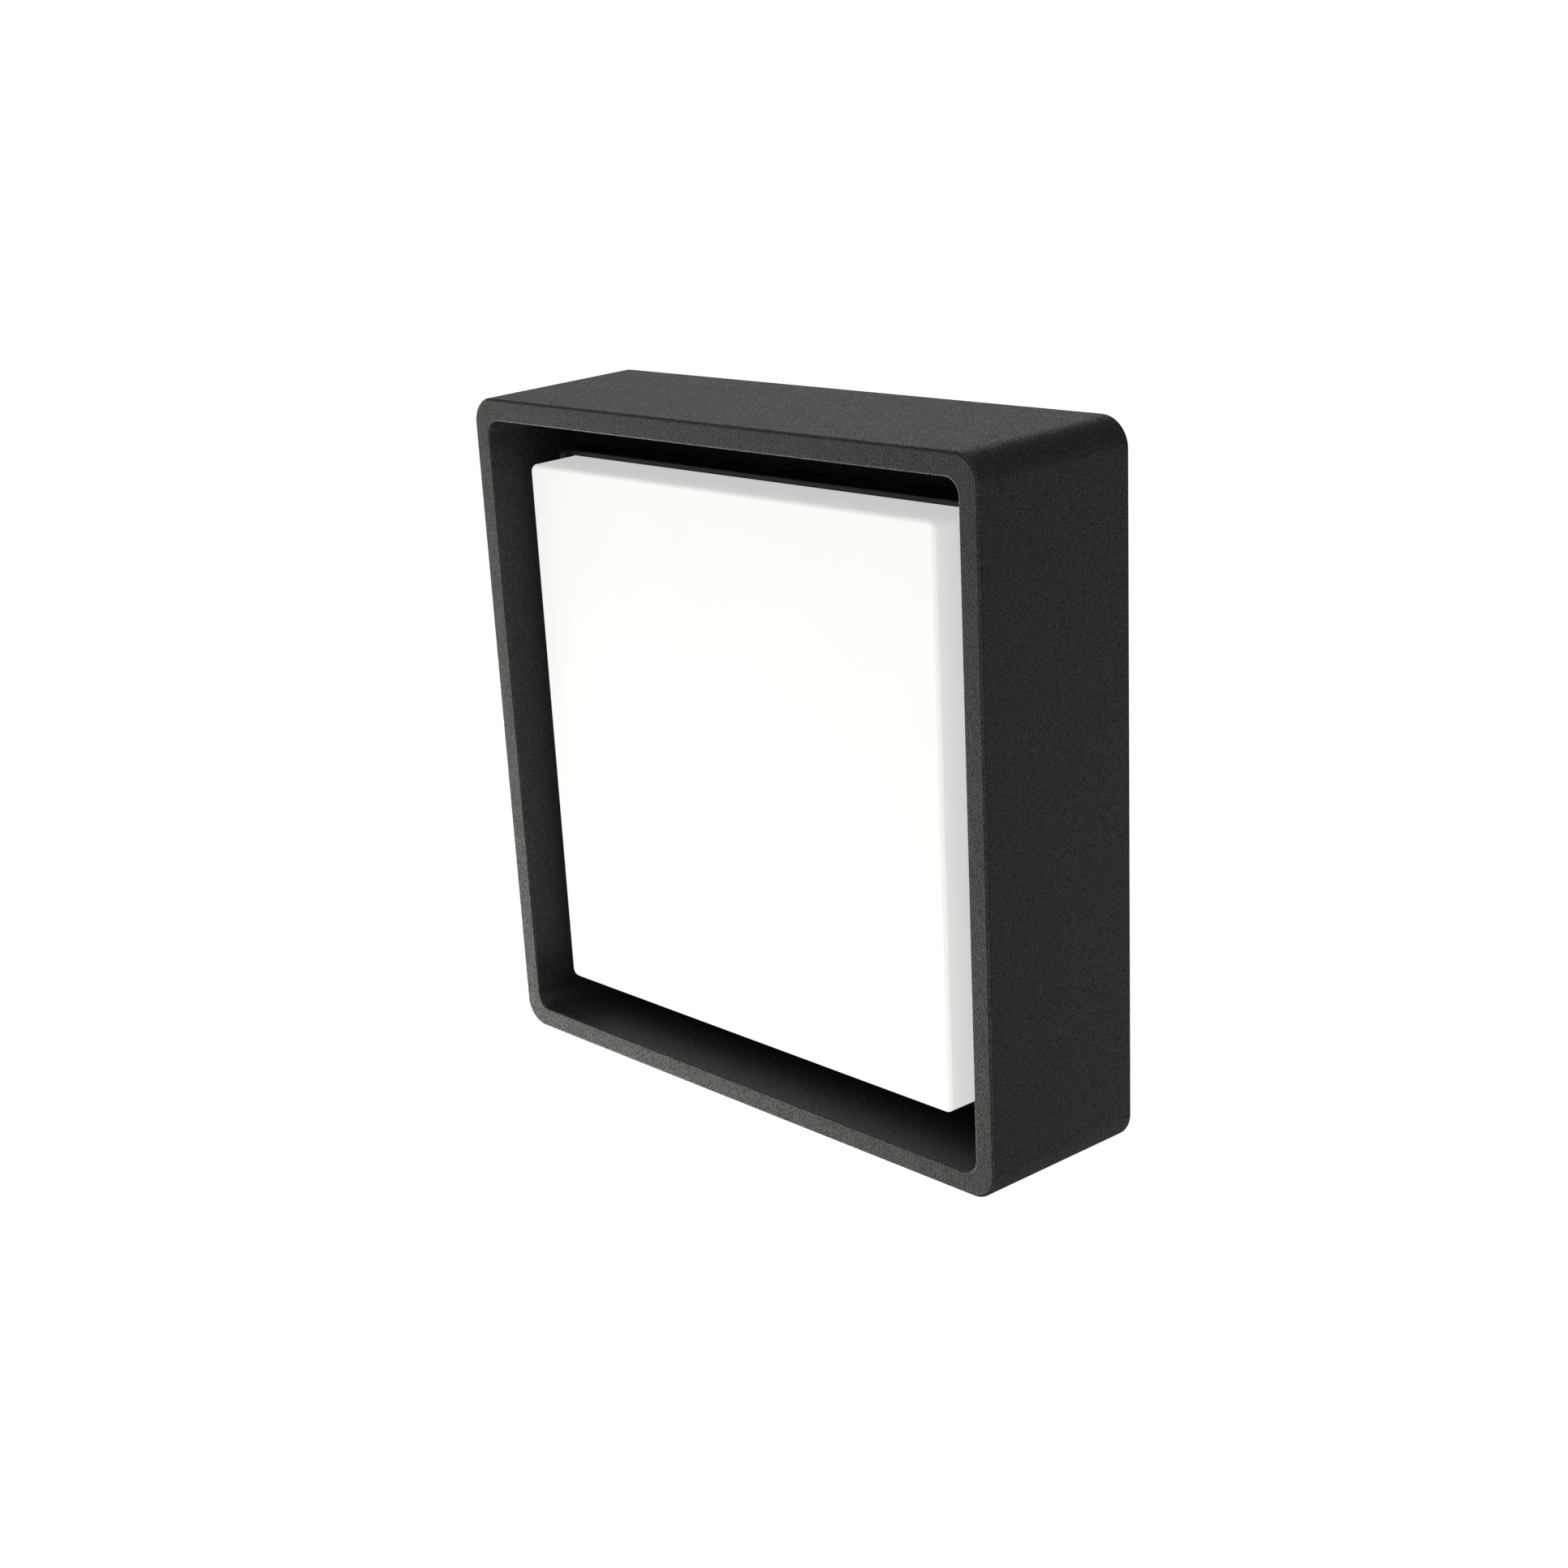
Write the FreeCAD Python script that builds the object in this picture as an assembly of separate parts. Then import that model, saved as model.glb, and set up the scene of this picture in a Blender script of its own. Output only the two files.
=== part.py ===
import FreeCAD, Part
import math
import os

# Square outdoor wall lantern, 250 x 250 x 69 mm: a drafted die-cast frame screwed to a wall base, and a
# light unit (tray, LED board, opal cover, driver) that plugs into the base and is held by spring clips.
# Frame of the model: X to the right, Z up, wall plane at y = 0, front towards -Y, origin at the middle
# of the wall plane. "out" is a distance in front of the wall plane, so a point lies at y = -out.
# "half" is half the width of a square outline. All lengths are in millimetres.

# Outer frame
DEPTH = 69.2
BACK_HALF = 125.0
FRONT_HALF = 123.0
BACK_RADIUS = 10.4
FRONT_RADIUS = 9.5
RIM_HALF = 115.0
RIM_RADIUS = 5.6
RIM_DRAFT = 0.9
RIM_OUTER_ROUND = 1.1
RIM_INNER_ROUND = 0.6
FLANGE_OUT = (26.0, 29.0)
FLANGE_HALF = 96.5
SKIN = 3.5
CORE_TIP_OUT = 62.0
CORE_WIDTH = 2.6
CORE_TIP_WIDTH = 1.0
CORE_RADIUS = 7.0

# Wall base
BASE_HALF = 120.8
BASE_RADIUS = 7.0
FLOOR = 3.0
CHAMBER_HALF = 87.0
CHAMBER_WALL = 3.0
CHAMBER_RADIUS = 6.0
CHAMBER_OUT = 33.0
GASKET_HALF = 116.5
GASKET_WIDTH = 4.0
GASKET_DEPTH = 1.6
FRAME_SCREW_AT = 100.6
CORNER_POST_AT = 106.0
POST_R = 4.5
WALL_SLOT_AT = (70.0, 60.0)
WALL_SLOT_LENGTH = 12.0
WALL_SLOT_R = 2.6
WASHER_MARGIN = 4.0
WASHER_THICK = 2.0
ENTRY_R = 10.0
ENTRY_LIP = 2.5
GROMMET_AT = (0.0, 2.0)
PLUG_AT = (44.0, 2.0)
CABLE_R = 4.0
BOSS_R = 4.0
BOSS_OUT = 6.0

# Terminal block, with its three poles from left to right: earth, neutral, live
BLOCK_Z = -42.0
BLOCK_WIDTH = 54.0
BLOCK_HEIGHT = 18.0
BLOCK_OUT = 23.0
POLE_PITCH = 16.0
BUTTON = (7.4, 6.4, 7.8)
BUTTON_PROUD = 1.6
BUTTON_GAP = 0.3
POCKET_DEPTH = 8.0
LEAD_OUT = 10.0
LEAD_D = 2.2
LEAD_BEND = 8.0
BLOCK_EAR = 8.0

# Connector that parts when the light unit is pulled off
CONNECTOR_AT = (54.0, -38.0)
CONNECTOR_SIZE = (24.0, 20.0)
SOCKET_OUT = 19.0
PLUG_OUT = 19.6
PIN_PITCH = 6.0
PIN_R = 0.9
CONTACT_R = (1.3, 1.7)

# Light unit
TRAY_HALF = 102.8
TRAY_RADIUS = 3.0
TRAY_OUT = (36.5, 39.0)
LIP_THICK = 1.35
LIP_OUT = 48.0
SEAL_GAP = 0.3
TRAY_SEAL = (87.2, 90.8)
PAD_THICK = 0.4
BOARD_THICK = 1.6
BOARD_HALF = 89.5
LED_COUNT = 8
LED_PITCH = 22.0
LED_SIZE = 2.8
LED_HEIGHT = 0.7
REFLECTOR_THICK = 0.4
BOARD_SCREW_AT = 66.0

# Opal cover
COVER_OUT = 63.7
COVER_HALF = 99.65
COVER_BACK_HALF = 100.07
COVER_RADIUS = 3.0
COVER_WALL = 2.5
COVER_ROUND = 1.4
COVER_FLANGE_HALF = 100.9
COVER_FLANGE_OUT = (40.6, 43.0)
COVER_SEAL_OUT = 44.2
COVER_SEAL_HALF = (98.2, 101.4)
COVER_BOSS_R = 3.3
COVER_BOSS_AT = 93.9
COVER_BOSS_SIDE = 60.0
COVER_BOSS_OUT = 54.0

# Driver on the back of the tray
DRIVER_Z = 41.0
DRIVER_SIZE = (112.0, 42.0)
DRIVER_OUT = (18.5, 34.9)
DRIVER_WALL = 1.8
DRIVER_BOARD_OUT = 30.0
DRIVER_EAR = 12.0
TRAY_LEAD_OUT = 28.0

# Spring clips: middle line of the leaf from the side, as (distance from the lantern's middle, out)
CLIP_WIDTH = 14.0
CLIP_THICK = 0.5
CLIP_SCREW_AT = 80.0
CLIP_LINE = ((76.0, 36.25), (85.8, 36.25), (85.5, 30.0), (86.3, 22.0), (85.0, 14.0))

CLEAR = 0.2


def point(x, out, z):
    """A point in front of the wall plane."""
    return FreeCAD.Vector(x, -out, z)


def turned(x, z, quarter):
    """The place (x, z) turned about the middle by quarter turns."""
    for _ in range(quarter):
        x, z = -z, x
    return x, z


def all_round(places):
    """The given places, repeated on all four sides."""
    return [turned(x, z, quarter) for quarter in range(4) for x, z in places]


def square_wire(half, radius, out):
    """Outline of a square with rounded corners."""
    inset = radius * (1 - math.sqrt(0.5))
    edges = []
    for quarter in range(4):
        ends = [(half, half - radius), (half - inset, half - inset), (half - radius, half)]
        first, middle, last = [point(x, out, z) for x, z in (turned(*end, quarter) for end in ends)]
        x, z = turned(half, half - radius, (quarter + 1) % 4)
        edges.append(Part.Arc(first, middle, last).toShape())
        edges.append(Part.LineSegment(last, point(x, out, z)).toShape())
    return Part.Wire(edges)


def prism(half, radius, out0, out1):
    """Square block with rounded corners and straight sides."""
    face = Part.Face(square_wire(half, radius, out0))
    return face.extrude(point(0, out1 - out0, 0))


def drafted(half0, radius0, out0, half1, radius1, out1):
    """Square block whose sides lean, as a casting's do."""
    wires = [square_wire(half0, radius0, out0), square_wire(half1, radius1, out1)]
    return Part.makeLoft(wires, True, True)


def ring(inner, outer, radius, out0, out1):
    """Square ring with rounded corners, from its two half widths."""
    hole = prism(inner, max(radius - (outer - inner), 0.5), out0 - 1, out1 + 1)
    return prism(outer, radius, out0, out1).cut(hole)


def slab(x, z, width, height, out0, out1):
    """Rectangular block centred on (x, z)."""
    corner = point(x - width / 2, out1, z - height / 2)
    return Part.makeBox(width, out1 - out0, height, corner)


def rounded_slab(x, z, width, height, out0, out1, radius):
    """Rectangular block with its four out-going edges rounded."""
    block = slab(x, z, width, height, out0, out1)
    return block.makeFillet(radius, [e for e in block.Edges if is_out_going(e)])


def is_out_going(edge):
    """Whether a straight edge runs away from the wall."""
    a, b = [v.Point for v in edge.Vertexes]
    return abs(a.x - b.x) < 1e-6 and abs(a.z - b.z) < 1e-6


def rod(x, z, radius, out0, out1):
    """Round bar that stands on the wall plane's normal."""
    return Part.makeCylinder(radius, abs(out1 - out0), point(x, min(out0, out1), z), point(0, 1, 0))


def slot(x, z, length, radius, out0, out1):
    """Block with round ends, its length along X."""
    reach = length / 2 - radius
    middle = slab(x, z, 2 * reach, 2 * radius, out0, out1)
    ends = [rod(x + side * reach, z, radius, out0, out1) for side in (-1, 1)]
    return middle.fuse(ends).removeSplitter()


def edges_at(shape, out):
    """Edges that lie wholly in the plane at a distance out."""
    return [e for e in shape.Edges if all(abs(v.Y + out) < 1e-6 for v in e.Vertexes)]


def screw(x, z, seat, reach, size, facing=1):
    """Pan-head screw with a cross recess; size is the shank's diameter, facing +1 has the head outside."""
    head_out = seat + facing * 0.7 * size
    head = rod(x, z, size, seat, head_out)
    head = head.makeFillet(0.3 * size, edges_at(head, head_out))
    recess_out = seat + facing * 0.3 * size
    low, high = sorted((recess_out, head_out + facing))
    for width, height in ((1.1 * size, 0.24 * size), (0.24 * size, 1.1 * size)):
        head = head.cut(slab(x, z, width, height, low, high))
    return head.fuse(rod(x, z, size / 2, seat, seat - facing * reach))


def screws(places, seat, reach, size, facing=1):
    """A group of identical screws."""
    return Part.makeCompound([screw(x, z, seat, reach, size, facing) for x, z in places])


def pilots(places, out0, out1, size):
    """Holes that the threads of a group of screws fill."""
    return [rod(x, z, size / 2 + 0.02, out0, out1) for x, z in places]


def lead(points, diameter, bend):
    """Insulated lead: straight runs joined by tangent arcs."""
    edges = []
    start = points[0]
    for before, corner, after in zip(points, points[1:], points[2:]):
        ahead = (corner - before).normalize()
        onward = (after - corner).normalize()
        half_turn = ahead.getAngle(onward) / 2
        entry = corner - ahead * bend * math.tan(half_turn)
        leave = corner + onward * bend * math.tan(half_turn)
        inward = (onward - ahead).normalize()
        middle = corner + inward * bend * (1 / math.cos(half_turn) - 1)
        edges.append(Part.LineSegment(start, entry).toShape())
        edges.append(Part.Arc(entry, middle, leave).toShape())
        start = leave
    edges.append(Part.LineSegment(start, points[-1]).toShape())
    section = Part.Wire(Part.makeCircle(diameter / 2, points[0], points[1] - points[0]))
    return Part.Wire(edges).makePipeShell([section], True, False)


# Places used by more than one piece

FRAME_SCREWS = all_round([(FRAME_SCREW_AT, 0.0)])
WALL_SLOTS = [(sx * WALL_SLOT_AT[0], sz * WALL_SLOT_AT[1]) for sx in (-1, 1) for sz in (-1, 1)]
COVER_BOSSES = all_round([(COVER_BOSS_AT, -COVER_BOSS_SIDE), (COVER_BOSS_AT, COVER_BOSS_SIDE)])
CLIP_SCREWS = all_round([(CLIP_SCREW_AT, 0.0)])
BOARD_SCREWS = all_round([(BOARD_SCREW_AT, BOARD_SCREW_AT)])
DRIVER_SCREWS = [(side * (DRIVER_SIZE[0] + DRIVER_EAR) / 2, DRIVER_Z) for side in (-1, 1)]
BLOCK_SCREWS = [(side * (BLOCK_WIDTH + BLOCK_EAR) / 2, BLOCK_Z) for side in (-1, 1)]
CLAMP_SCREWS = [(-12.0, -22.0), (12.0, -22.0)]
CONNECTOR_SCREWS = [(CONNECTOR_AT[0] + side * 8.5, CONNECTOR_AT[1] + 5.5) for side in (-1, 1)]
EARTH_BOSS = (-52.0, -42.0)
TRAY_EARTH = (60.0, 9.0)
POLES = [-POLE_PITCH, 0.0, POLE_PITCH]
PINS = [(CONNECTOR_AT[0] + step * PIN_PITCH, CONNECTOR_AT[1] - 3.0) for step in (-1, 0, 1)]
LEDS = [((i - (LED_COUNT - 1) / 2) * LED_PITCH, (j - (LED_COUNT - 1) / 2) * LED_PITCH)
        for i in range(LED_COUNT) for j in range(LED_COUNT)]

BOARD_OUT = TRAY_OUT[1] + PAD_THICK
BOARD_FRONT = BOARD_OUT + BOARD_THICK
BLOCK_BASE = BOSS_OUT


# Wall base

def outer_frame():
    """Drafted casting: thick-looking front walls cored from behind, and a flange for its four screws."""
    shell = drafted(BACK_HALF, BACK_RADIUS, 0, FRONT_HALF, FRONT_RADIUS, DEPTH)
    shell = shell.makeFillet(RIM_OUTER_ROUND, edges_at(shell, DEPTH))
    mouth = drafted(RIM_HALF + RIM_DRAFT, RIM_RADIUS, FLANGE_OUT[1], RIM_HALF, RIM_RADIUS, DEPTH)
    shell = shell.cut(mouth)
    inner_edges = [e for e in edges_at(shell, DEPTH) if e.BoundBox.XMax < RIM_HALF + CLEAR
                   and e.BoundBox.XMin > -RIM_HALF - CLEAR and e.BoundBox.ZMax < RIM_HALF + CLEAR
                   and e.BoundBox.ZMin > -RIM_HALF - CLEAR]
    shell = shell.makeFillet(RIM_INNER_ROUND, inner_edges)
    shell = shell.cut(prism(FLANGE_HALF, RIM_RADIUS, FLANGE_OUT[0] - 1, FLANGE_OUT[1] + 1))
    back = BACK_HALF - SKIN
    shell = shell.cut(drafted(back, CORE_RADIUS, 0, back - CLEAR, CORE_RADIUS, FLANGE_OUT[0]))
    core_half = back - CLEAR
    tip_half = core_half - (CORE_WIDTH - CORE_TIP_WIDTH) / 2
    core = drafted(core_half, CORE_RADIUS, FLANGE_OUT[0], tip_half, CORE_RADIUS, CORE_TIP_OUT)
    inside = drafted(core_half - CORE_WIDTH, CORE_RADIUS - CORE_WIDTH, FLANGE_OUT[0],
                     tip_half - CORE_TIP_WIDTH, CORE_RADIUS - CORE_TIP_WIDTH, CORE_TIP_OUT)
    shell = shell.cut(core.cut(inside))
    holes = [rod(x, z, 2.0, FLANGE_OUT[0] - 1, FLANGE_OUT[1] + 1) for x, z in FRAME_SCREWS]
    return shell.cut(holes)


def base_housing():
    """Cast back plate with a walled wiring chamber, screw posts, wall slots and two cable entries."""
    plate = prism(BASE_HALF, BASE_RADIUS, 0, FLOOR)
    outer = CHAMBER_HALF + CHAMBER_WALL
    chamber = ring(CHAMBER_HALF, outer, CHAMBER_RADIUS + CHAMBER_WALL, FLOOR, CHAMBER_OUT)
    posts = [rod(x, z, POST_R, FLOOR, FLANGE_OUT[0]) for x, z in FRAME_SCREWS]
    corners = all_round([(CORNER_POST_AT, CORNER_POST_AT)])
    posts += [rod(x, z, POST_R, FLOOR, FLANGE_OUT[0]) for x, z in corners]
    webs = []
    for x, z in FRAME_SCREWS:
        reach = (FRAME_SCREW_AT - outer) / FRAME_SCREW_AT
        middle = 1 - reach / 2
        webs.append(slab(x * middle, z * middle, max(abs(x) * reach, CHAMBER_WALL),
                         max(abs(z) * reach, CHAMBER_WALL), FLOOR, FLANGE_OUT[0] - 2))
    bosses = [rod(x, z, BOSS_R, FLOOR, BOSS_OUT) for x, z in BLOCK_SCREWS + CONNECTOR_SCREWS]
    bosses += [rod(x, z, BOSS_R, FLOOR, BOSS_OUT + 3) for x, z in CLAMP_SCREWS + [EARTH_BOSS]]
    body = plate.fuse([chamber] + posts + webs + bosses).removeSplitter()
    holes = [ring(GASKET_HALF - GASKET_WIDTH, GASKET_HALF, CORE_RADIUS, -1, GASKET_DEPTH)]
    holes += [slot(x, z, WALL_SLOT_LENGTH, WALL_SLOT_R, -1, FLOOR + 1) for x, z in WALL_SLOTS]
    holes += [rod(x, z, ENTRY_R, -1, FLOOR + 1) for x, z in (GROMMET_AT, PLUG_AT)]
    holes += pilots(FRAME_SCREWS, FLANGE_OUT[0] - 13, FLANGE_OUT[0] + 1, 3.0)
    holes += pilots(BLOCK_SCREWS + CONNECTOR_SCREWS, FLOOR / 2, BOSS_OUT + 1, 2.5)
    holes += pilots(CLAMP_SCREWS + [EARTH_BOSS], FLOOR / 2, BOSS_OUT + 4, 3.0)
    return body.cut(holes)


def wall_gasket():
    """Foam gasket in the groove round the back plate, level with the wall plane."""
    return ring(GASKET_HALF - GASKET_WIDTH, GASKET_HALF, CORE_RADIUS, 0, GASKET_DEPTH)


def frame_screws():
    """Four screws through the frame's flange into the base's posts."""
    return screws(FRAME_SCREWS, FLANGE_OUT[1], 15.0, 3.0)


def wall_screw_seals():
    """Rubber washers round the four slotted wall holes."""
    pads = []
    for x, z in WALL_SLOTS:
        pad = slot(x, z, WALL_SLOT_LENGTH + 2 * WASHER_MARGIN, WALL_SLOT_R + WASHER_MARGIN,
                   FLOOR, FLOOR + WASHER_THICK)
        hole = slot(x, z, WALL_SLOT_LENGTH, WALL_SLOT_R, FLOOR - 1, FLOOR + WASHER_THICK + 1)
        pads.append(pad.cut(hole))
    return Part.makeCompound(pads)


def cable_grommet():
    """Rubber grommet in the cable entry: neck, inner lip and a raised collar round the bore."""
    x, z = GROMMET_AT
    neck = rod(x, z, ENTRY_R, 0, FLOOR)
    lip = rod(x, z, ENTRY_R + ENTRY_LIP, FLOOR, FLOOR + ENTRY_LIP)
    collar = rod(x, z, CABLE_R + 1.5, FLOOR, FLOOR + 6)
    return neck.fuse([lip, collar]).removeSplitter().cut(rod(x, z, CABLE_R, -1, FLOOR + 7))


def blanking_plug():
    """Solid plug in the spare cable entry."""
    x, z = PLUG_AT
    neck = rod(x, z, ENTRY_R, 0, FLOOR)
    lip = rod(x, z, ENTRY_R + ENTRY_LIP, FLOOR, FLOOR + ENTRY_LIP)
    hollow = rod(x, z, ENTRY_R - 2.5, -1, FLOOR)
    return neck.fuse(lip).removeSplitter().cut(hollow)


def cord_clamp():
    """Saddle that holds the supply cable down between its two screws."""
    x = CLAMP_SCREWS[1][0]
    z = CLAMP_SCREWS[1][1]
    bar = rounded_slab(0, z, 2 * x + 9, 9, BOSS_OUT + 3, BOSS_OUT + 8, 2.0)
    arch = Part.makeCylinder(CABLE_R, 20, point(0, BOSS_OUT + 2.5, z - 10), FreeCAD.Vector(0, 0, 1))
    holes = [rod(place[0], place[1], 1.7, BOSS_OUT, BOSS_OUT + 9) for place in CLAMP_SCREWS]
    return bar.cut([arch] + holes)


def cord_clamp_screws():
    """Two screws of the cord clamp."""
    return screws(CLAMP_SCREWS, BOSS_OUT + 8, 11.0, 3.0)


def terminal_block():
    """Three-pole push-in block with ears for its two screws."""
    body = rounded_slab(0, BLOCK_Z, BLOCK_WIDTH, BLOCK_HEIGHT, BLOCK_BASE, BLOCK_OUT, 1.5)
    width = BLOCK_WIDTH + 2 * BLOCK_EAR
    ears = rounded_slab(0, BLOCK_Z, width, 9.0, BLOCK_BASE, BLOCK_BASE + 3, 3.0)
    body = body.fuse(ears).removeSplitter()
    cuts = [rod(x, z, 1.5, BLOCK_BASE - 1, BLOCK_BASE + 4) for x, z in BLOCK_SCREWS]
    for x in POLES:
        wide = BUTTON[0] + 2 * BUTTON_GAP
        high = BUTTON[1] + 2 * BUTTON_GAP
        cuts.append(slab(x, BLOCK_Z, wide, high, BLOCK_OUT - POCKET_DEPTH, BLOCK_OUT + 1))
        cuts.append(slab(x, BLOCK_Z, 9.0, 12.0, BLOCK_BASE - 1, BLOCK_BASE + 7.5))
        top = point(x, LEAD_OUT, BLOCK_Z + 5)
        cuts.append(Part.makeCylinder(1.9, 6, top, FreeCAD.Vector(0, 0, 1)))
    return body.cut(cuts)


def terminal_clamps():
    """Brass clamp of each pole, with the bore that takes the supply wire."""
    clamps = []
    for x in POLES:
        clamp = slab(x, BLOCK_Z, 8.4, 11.4, BLOCK_BASE + CLEAR, BLOCK_BASE + 7.3)
        bore = Part.makeCylinder(1.7, 20, point(x, LEAD_OUT, BLOCK_Z - 10), FreeCAD.Vector(0, 0, 1))
        clamps.append(clamp.cut(bore))
    return Part.makeCompound(clamps)


def terminal_block_screws():
    """Two screws of the terminal block."""
    return screws(BLOCK_SCREWS, BLOCK_BASE + 3, 7.0, 2.5)


def release_button(x):
    """Push button that opens the clamp of the pole at x, with a screwdriver slot in its face."""
    front = BLOCK_OUT + BUTTON_PROUD
    button = rounded_slab(x, BLOCK_Z, BUTTON[0], BUTTON[1], front - BUTTON[2], front, 0.8)
    return button.cut(slab(x, BLOCK_Z, 4.0, 1.0, front - 0.8, front + 1))


def earth_tag():
    """Ring tag under the earth screw, with the barrel that grips the bond lead."""
    x, z = EARTH_BOSS
    seat = BOSS_OUT + 3
    tag = rod(x, z, 4.0, seat, seat + 0.8).fuse(slab(x, z - 5, 3.0, 4.0, seat, seat + 0.8))
    barrel = Part.makeCylinder(1.8, 5, point(x, LEAD_OUT, z - 11), FreeCAD.Vector(0, 0, 1))
    return tag.fuse(barrel).removeSplitter().cut(rod(x, z, 1.7, seat - 1, seat + 2))


def earth_screw():
    """Screw that holds the ring tag on its boss."""
    return screw(EARTH_BOSS[0], EARTH_BOSS[1], BOSS_OUT + 3.8, 7.5, 3.0)


def u_lead(x0, x1, low, end):
    """Lead that drops from the block at x0, crosses, and rises to its end at x1."""
    start = BLOCK_Z - BLOCK_HEIGHT / 2
    route = [point(x0, LEAD_OUT, start), point(x0, LEAD_OUT, low),
             point(x1, LEAD_OUT, low), point(x1, LEAD_OUT, end)]
    return lead(route, LEAD_D, LEAD_BEND)


def socket_lead(pole, step):
    """Lead from a pole of the block to the socket; each further lead runs one step lower."""
    end = CONNECTOR_AT[1] - CONNECTOR_SIZE[1] / 2
    return u_lead(pole, PINS[step][0], -62.0 - 6.5 * step, end)


def earth_bond_lead():
    """Lead from the earth pole to the ring tag on the base."""
    return u_lead(POLES[0] - 4.0, EARTH_BOSS[0], -64.0, EARTH_BOSS[1] - 11)


def socket_connector():
    """Fixed half of the connector: a housing with three deep bores."""
    x, z = CONNECTOR_AT
    body = rounded_slab(x, z, *CONNECTOR_SIZE, BOSS_OUT, SOCKET_OUT, 2.0)
    bores = [rod(*pin, CONTACT_R[1] + 0.1, BOSS_OUT + 1.5, SOCKET_OUT + 1) for pin in PINS]
    recesses = [rod(*place, 3.0, BOSS_OUT + 3, SOCKET_OUT + 1) for place in CONNECTOR_SCREWS]
    holes = [rod(*place, 1.5, BOSS_OUT - 1, BOSS_OUT + 4) for place in CONNECTOR_SCREWS]
    return body.cut(bores + recesses + holes)


def socket_contacts():
    """Brass tubes in the socket's bores."""
    inner, outer = CONTACT_R
    tubes = []
    for pin in PINS:
        tube = rod(*pin, outer, BOSS_OUT + 1.6, SOCKET_OUT - 2)
        tubes.append(tube.cut(rod(*pin, inner, BOSS_OUT + 2.6, SOCKET_OUT)))
    return Part.makeCompound(tubes)


def socket_screws():
    """Two screws of the socket."""
    return screws(CONNECTOR_SCREWS, BOSS_OUT + 3, 7.0, 2.5)


# Light unit

def light_tray():
    """Tray with a thin lip round the cover and holes for everything that it carries."""
    body = prism(TRAY_HALF, TRAY_RADIUS, TRAY_OUT[0], LIP_OUT)
    inside = prism(TRAY_HALF - LIP_THICK, TRAY_RADIUS - LIP_THICK, TRAY_OUT[1], LIP_OUT + 1)
    holes = [rod(x, z, 1.6, TRAY_OUT[0] - 1, TRAY_OUT[1] + 1) for x, z in COVER_BOSSES]
    holes += pilots(CLIP_SCREWS + DRIVER_SCREWS, TRAY_OUT[0] - 1, TRAY_OUT[1] + 1, 2.5)
    holes += pilots(BOARD_SCREWS, TRAY_OUT[0] - 1, TRAY_OUT[1] + 1, 2.5)
    holes += pilots(CONNECTOR_SCREWS + [TRAY_EARTH], TRAY_OUT[0] - 1, TRAY_OUT[1] + 1, 2.5)
    holes.append(rod(0, 0, 4.5, TRAY_OUT[0] - 1, TRAY_OUT[1] + 1))
    return body.cut([inside] + holes)


def tray_seal():
    """Rubber ring on the back of the tray that meets the chamber wall."""
    return ring(*TRAY_SEAL, CHAMBER_RADIUS + CHAMBER_WALL, CHAMBER_OUT + SEAL_GAP, TRAY_OUT[0])


def thermal_pad():
    """Soft pad that carries heat from the LED board to the tray."""
    pad = prism(BOARD_HALF - 4, 3.0, TRAY_OUT[1], BOARD_OUT)
    holes = [rod(x, z, 2.5, TRAY_OUT[1] - 1, BOARD_OUT + 1) for x, z in BOARD_SCREWS + [(0.0, 0.0)]]
    return pad.cut(holes)


def led_board():
    """Aluminium-backed board."""
    board = prism(BOARD_HALF, 3.0, BOARD_OUT, BOARD_FRONT)
    holes = [rod(x, z, 1.5, BOARD_OUT - 1, BOARD_FRONT + 1) for x, z in BOARD_SCREWS]
    return board.cut(holes + [rod(0, 0, 2.8, BOARD_OUT - 1, BOARD_FRONT + 1)])


def led_chips():
    """Grid of light-emitting chips on the board."""
    return Part.makeCompound([slab(x, z, LED_SIZE, LED_SIZE, BOARD_FRONT, BOARD_FRONT + LED_HEIGHT)
                              for x, z in LEDS])


def led_board_screws():
    """Four screws of the LED board."""
    return screws(BOARD_SCREWS, BOARD_FRONT, 4.4, 2.5)


def led_connector():
    """Connector on the board's face, over the hole that the leads come through."""
    return rounded_slab(0, 0, 10, 8, BOARD_FRONT, BOARD_FRONT + 3, 1.0)


def reflector_sheet():
    """White sheet over the board, with windows for the chips, the screws and the connector."""
    low, high = BOARD_FRONT - 1, BOARD_FRONT + REFLECTOR_THICK + 1
    sheet = prism(BOARD_HALF, 3.0, BOARD_FRONT, BOARD_FRONT + REFLECTOR_THICK)
    windows = [slab(x, z, 2 * LED_SIZE, 2 * LED_SIZE, low, high) for x, z in LEDS]
    windows += [rod(x, z, 3.5, low, high) for x, z in BOARD_SCREWS]
    return sheet.cut(windows + [slab(0, 0, 12, 10, low, high)])


def diffuser():
    """Opal cover: a drafted box with soft edges, a flange at its back and bosses for its screws."""
    back = COVER_FLANGE_OUT[0]
    outer = drafted(COVER_BACK_HALF, COVER_RADIUS, back, COVER_HALF, COVER_RADIUS, COVER_OUT)
    outer = outer.makeFillet(COVER_ROUND, edges_at(outer, COVER_OUT))
    outer = outer.fuse(prism(COVER_FLANGE_HALF, COVER_RADIUS, *COVER_FLANGE_OUT))
    inner = prism(COVER_HALF - COVER_WALL, COVER_RADIUS / 2, back - 1, COVER_OUT - COVER_WALL)
    shell = outer.cut(inner)
    bosses = [rod(x, z, COVER_BOSS_R, TRAY_OUT[1], COVER_BOSS_OUT) for x, z in COVER_BOSSES]
    shell = shell.fuse(bosses).removeSplitter()
    return shell.cut(pilots(COVER_BOSSES, TRAY_OUT[1] - 1, COVER_BOSS_OUT - 2, 2.5))


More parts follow.
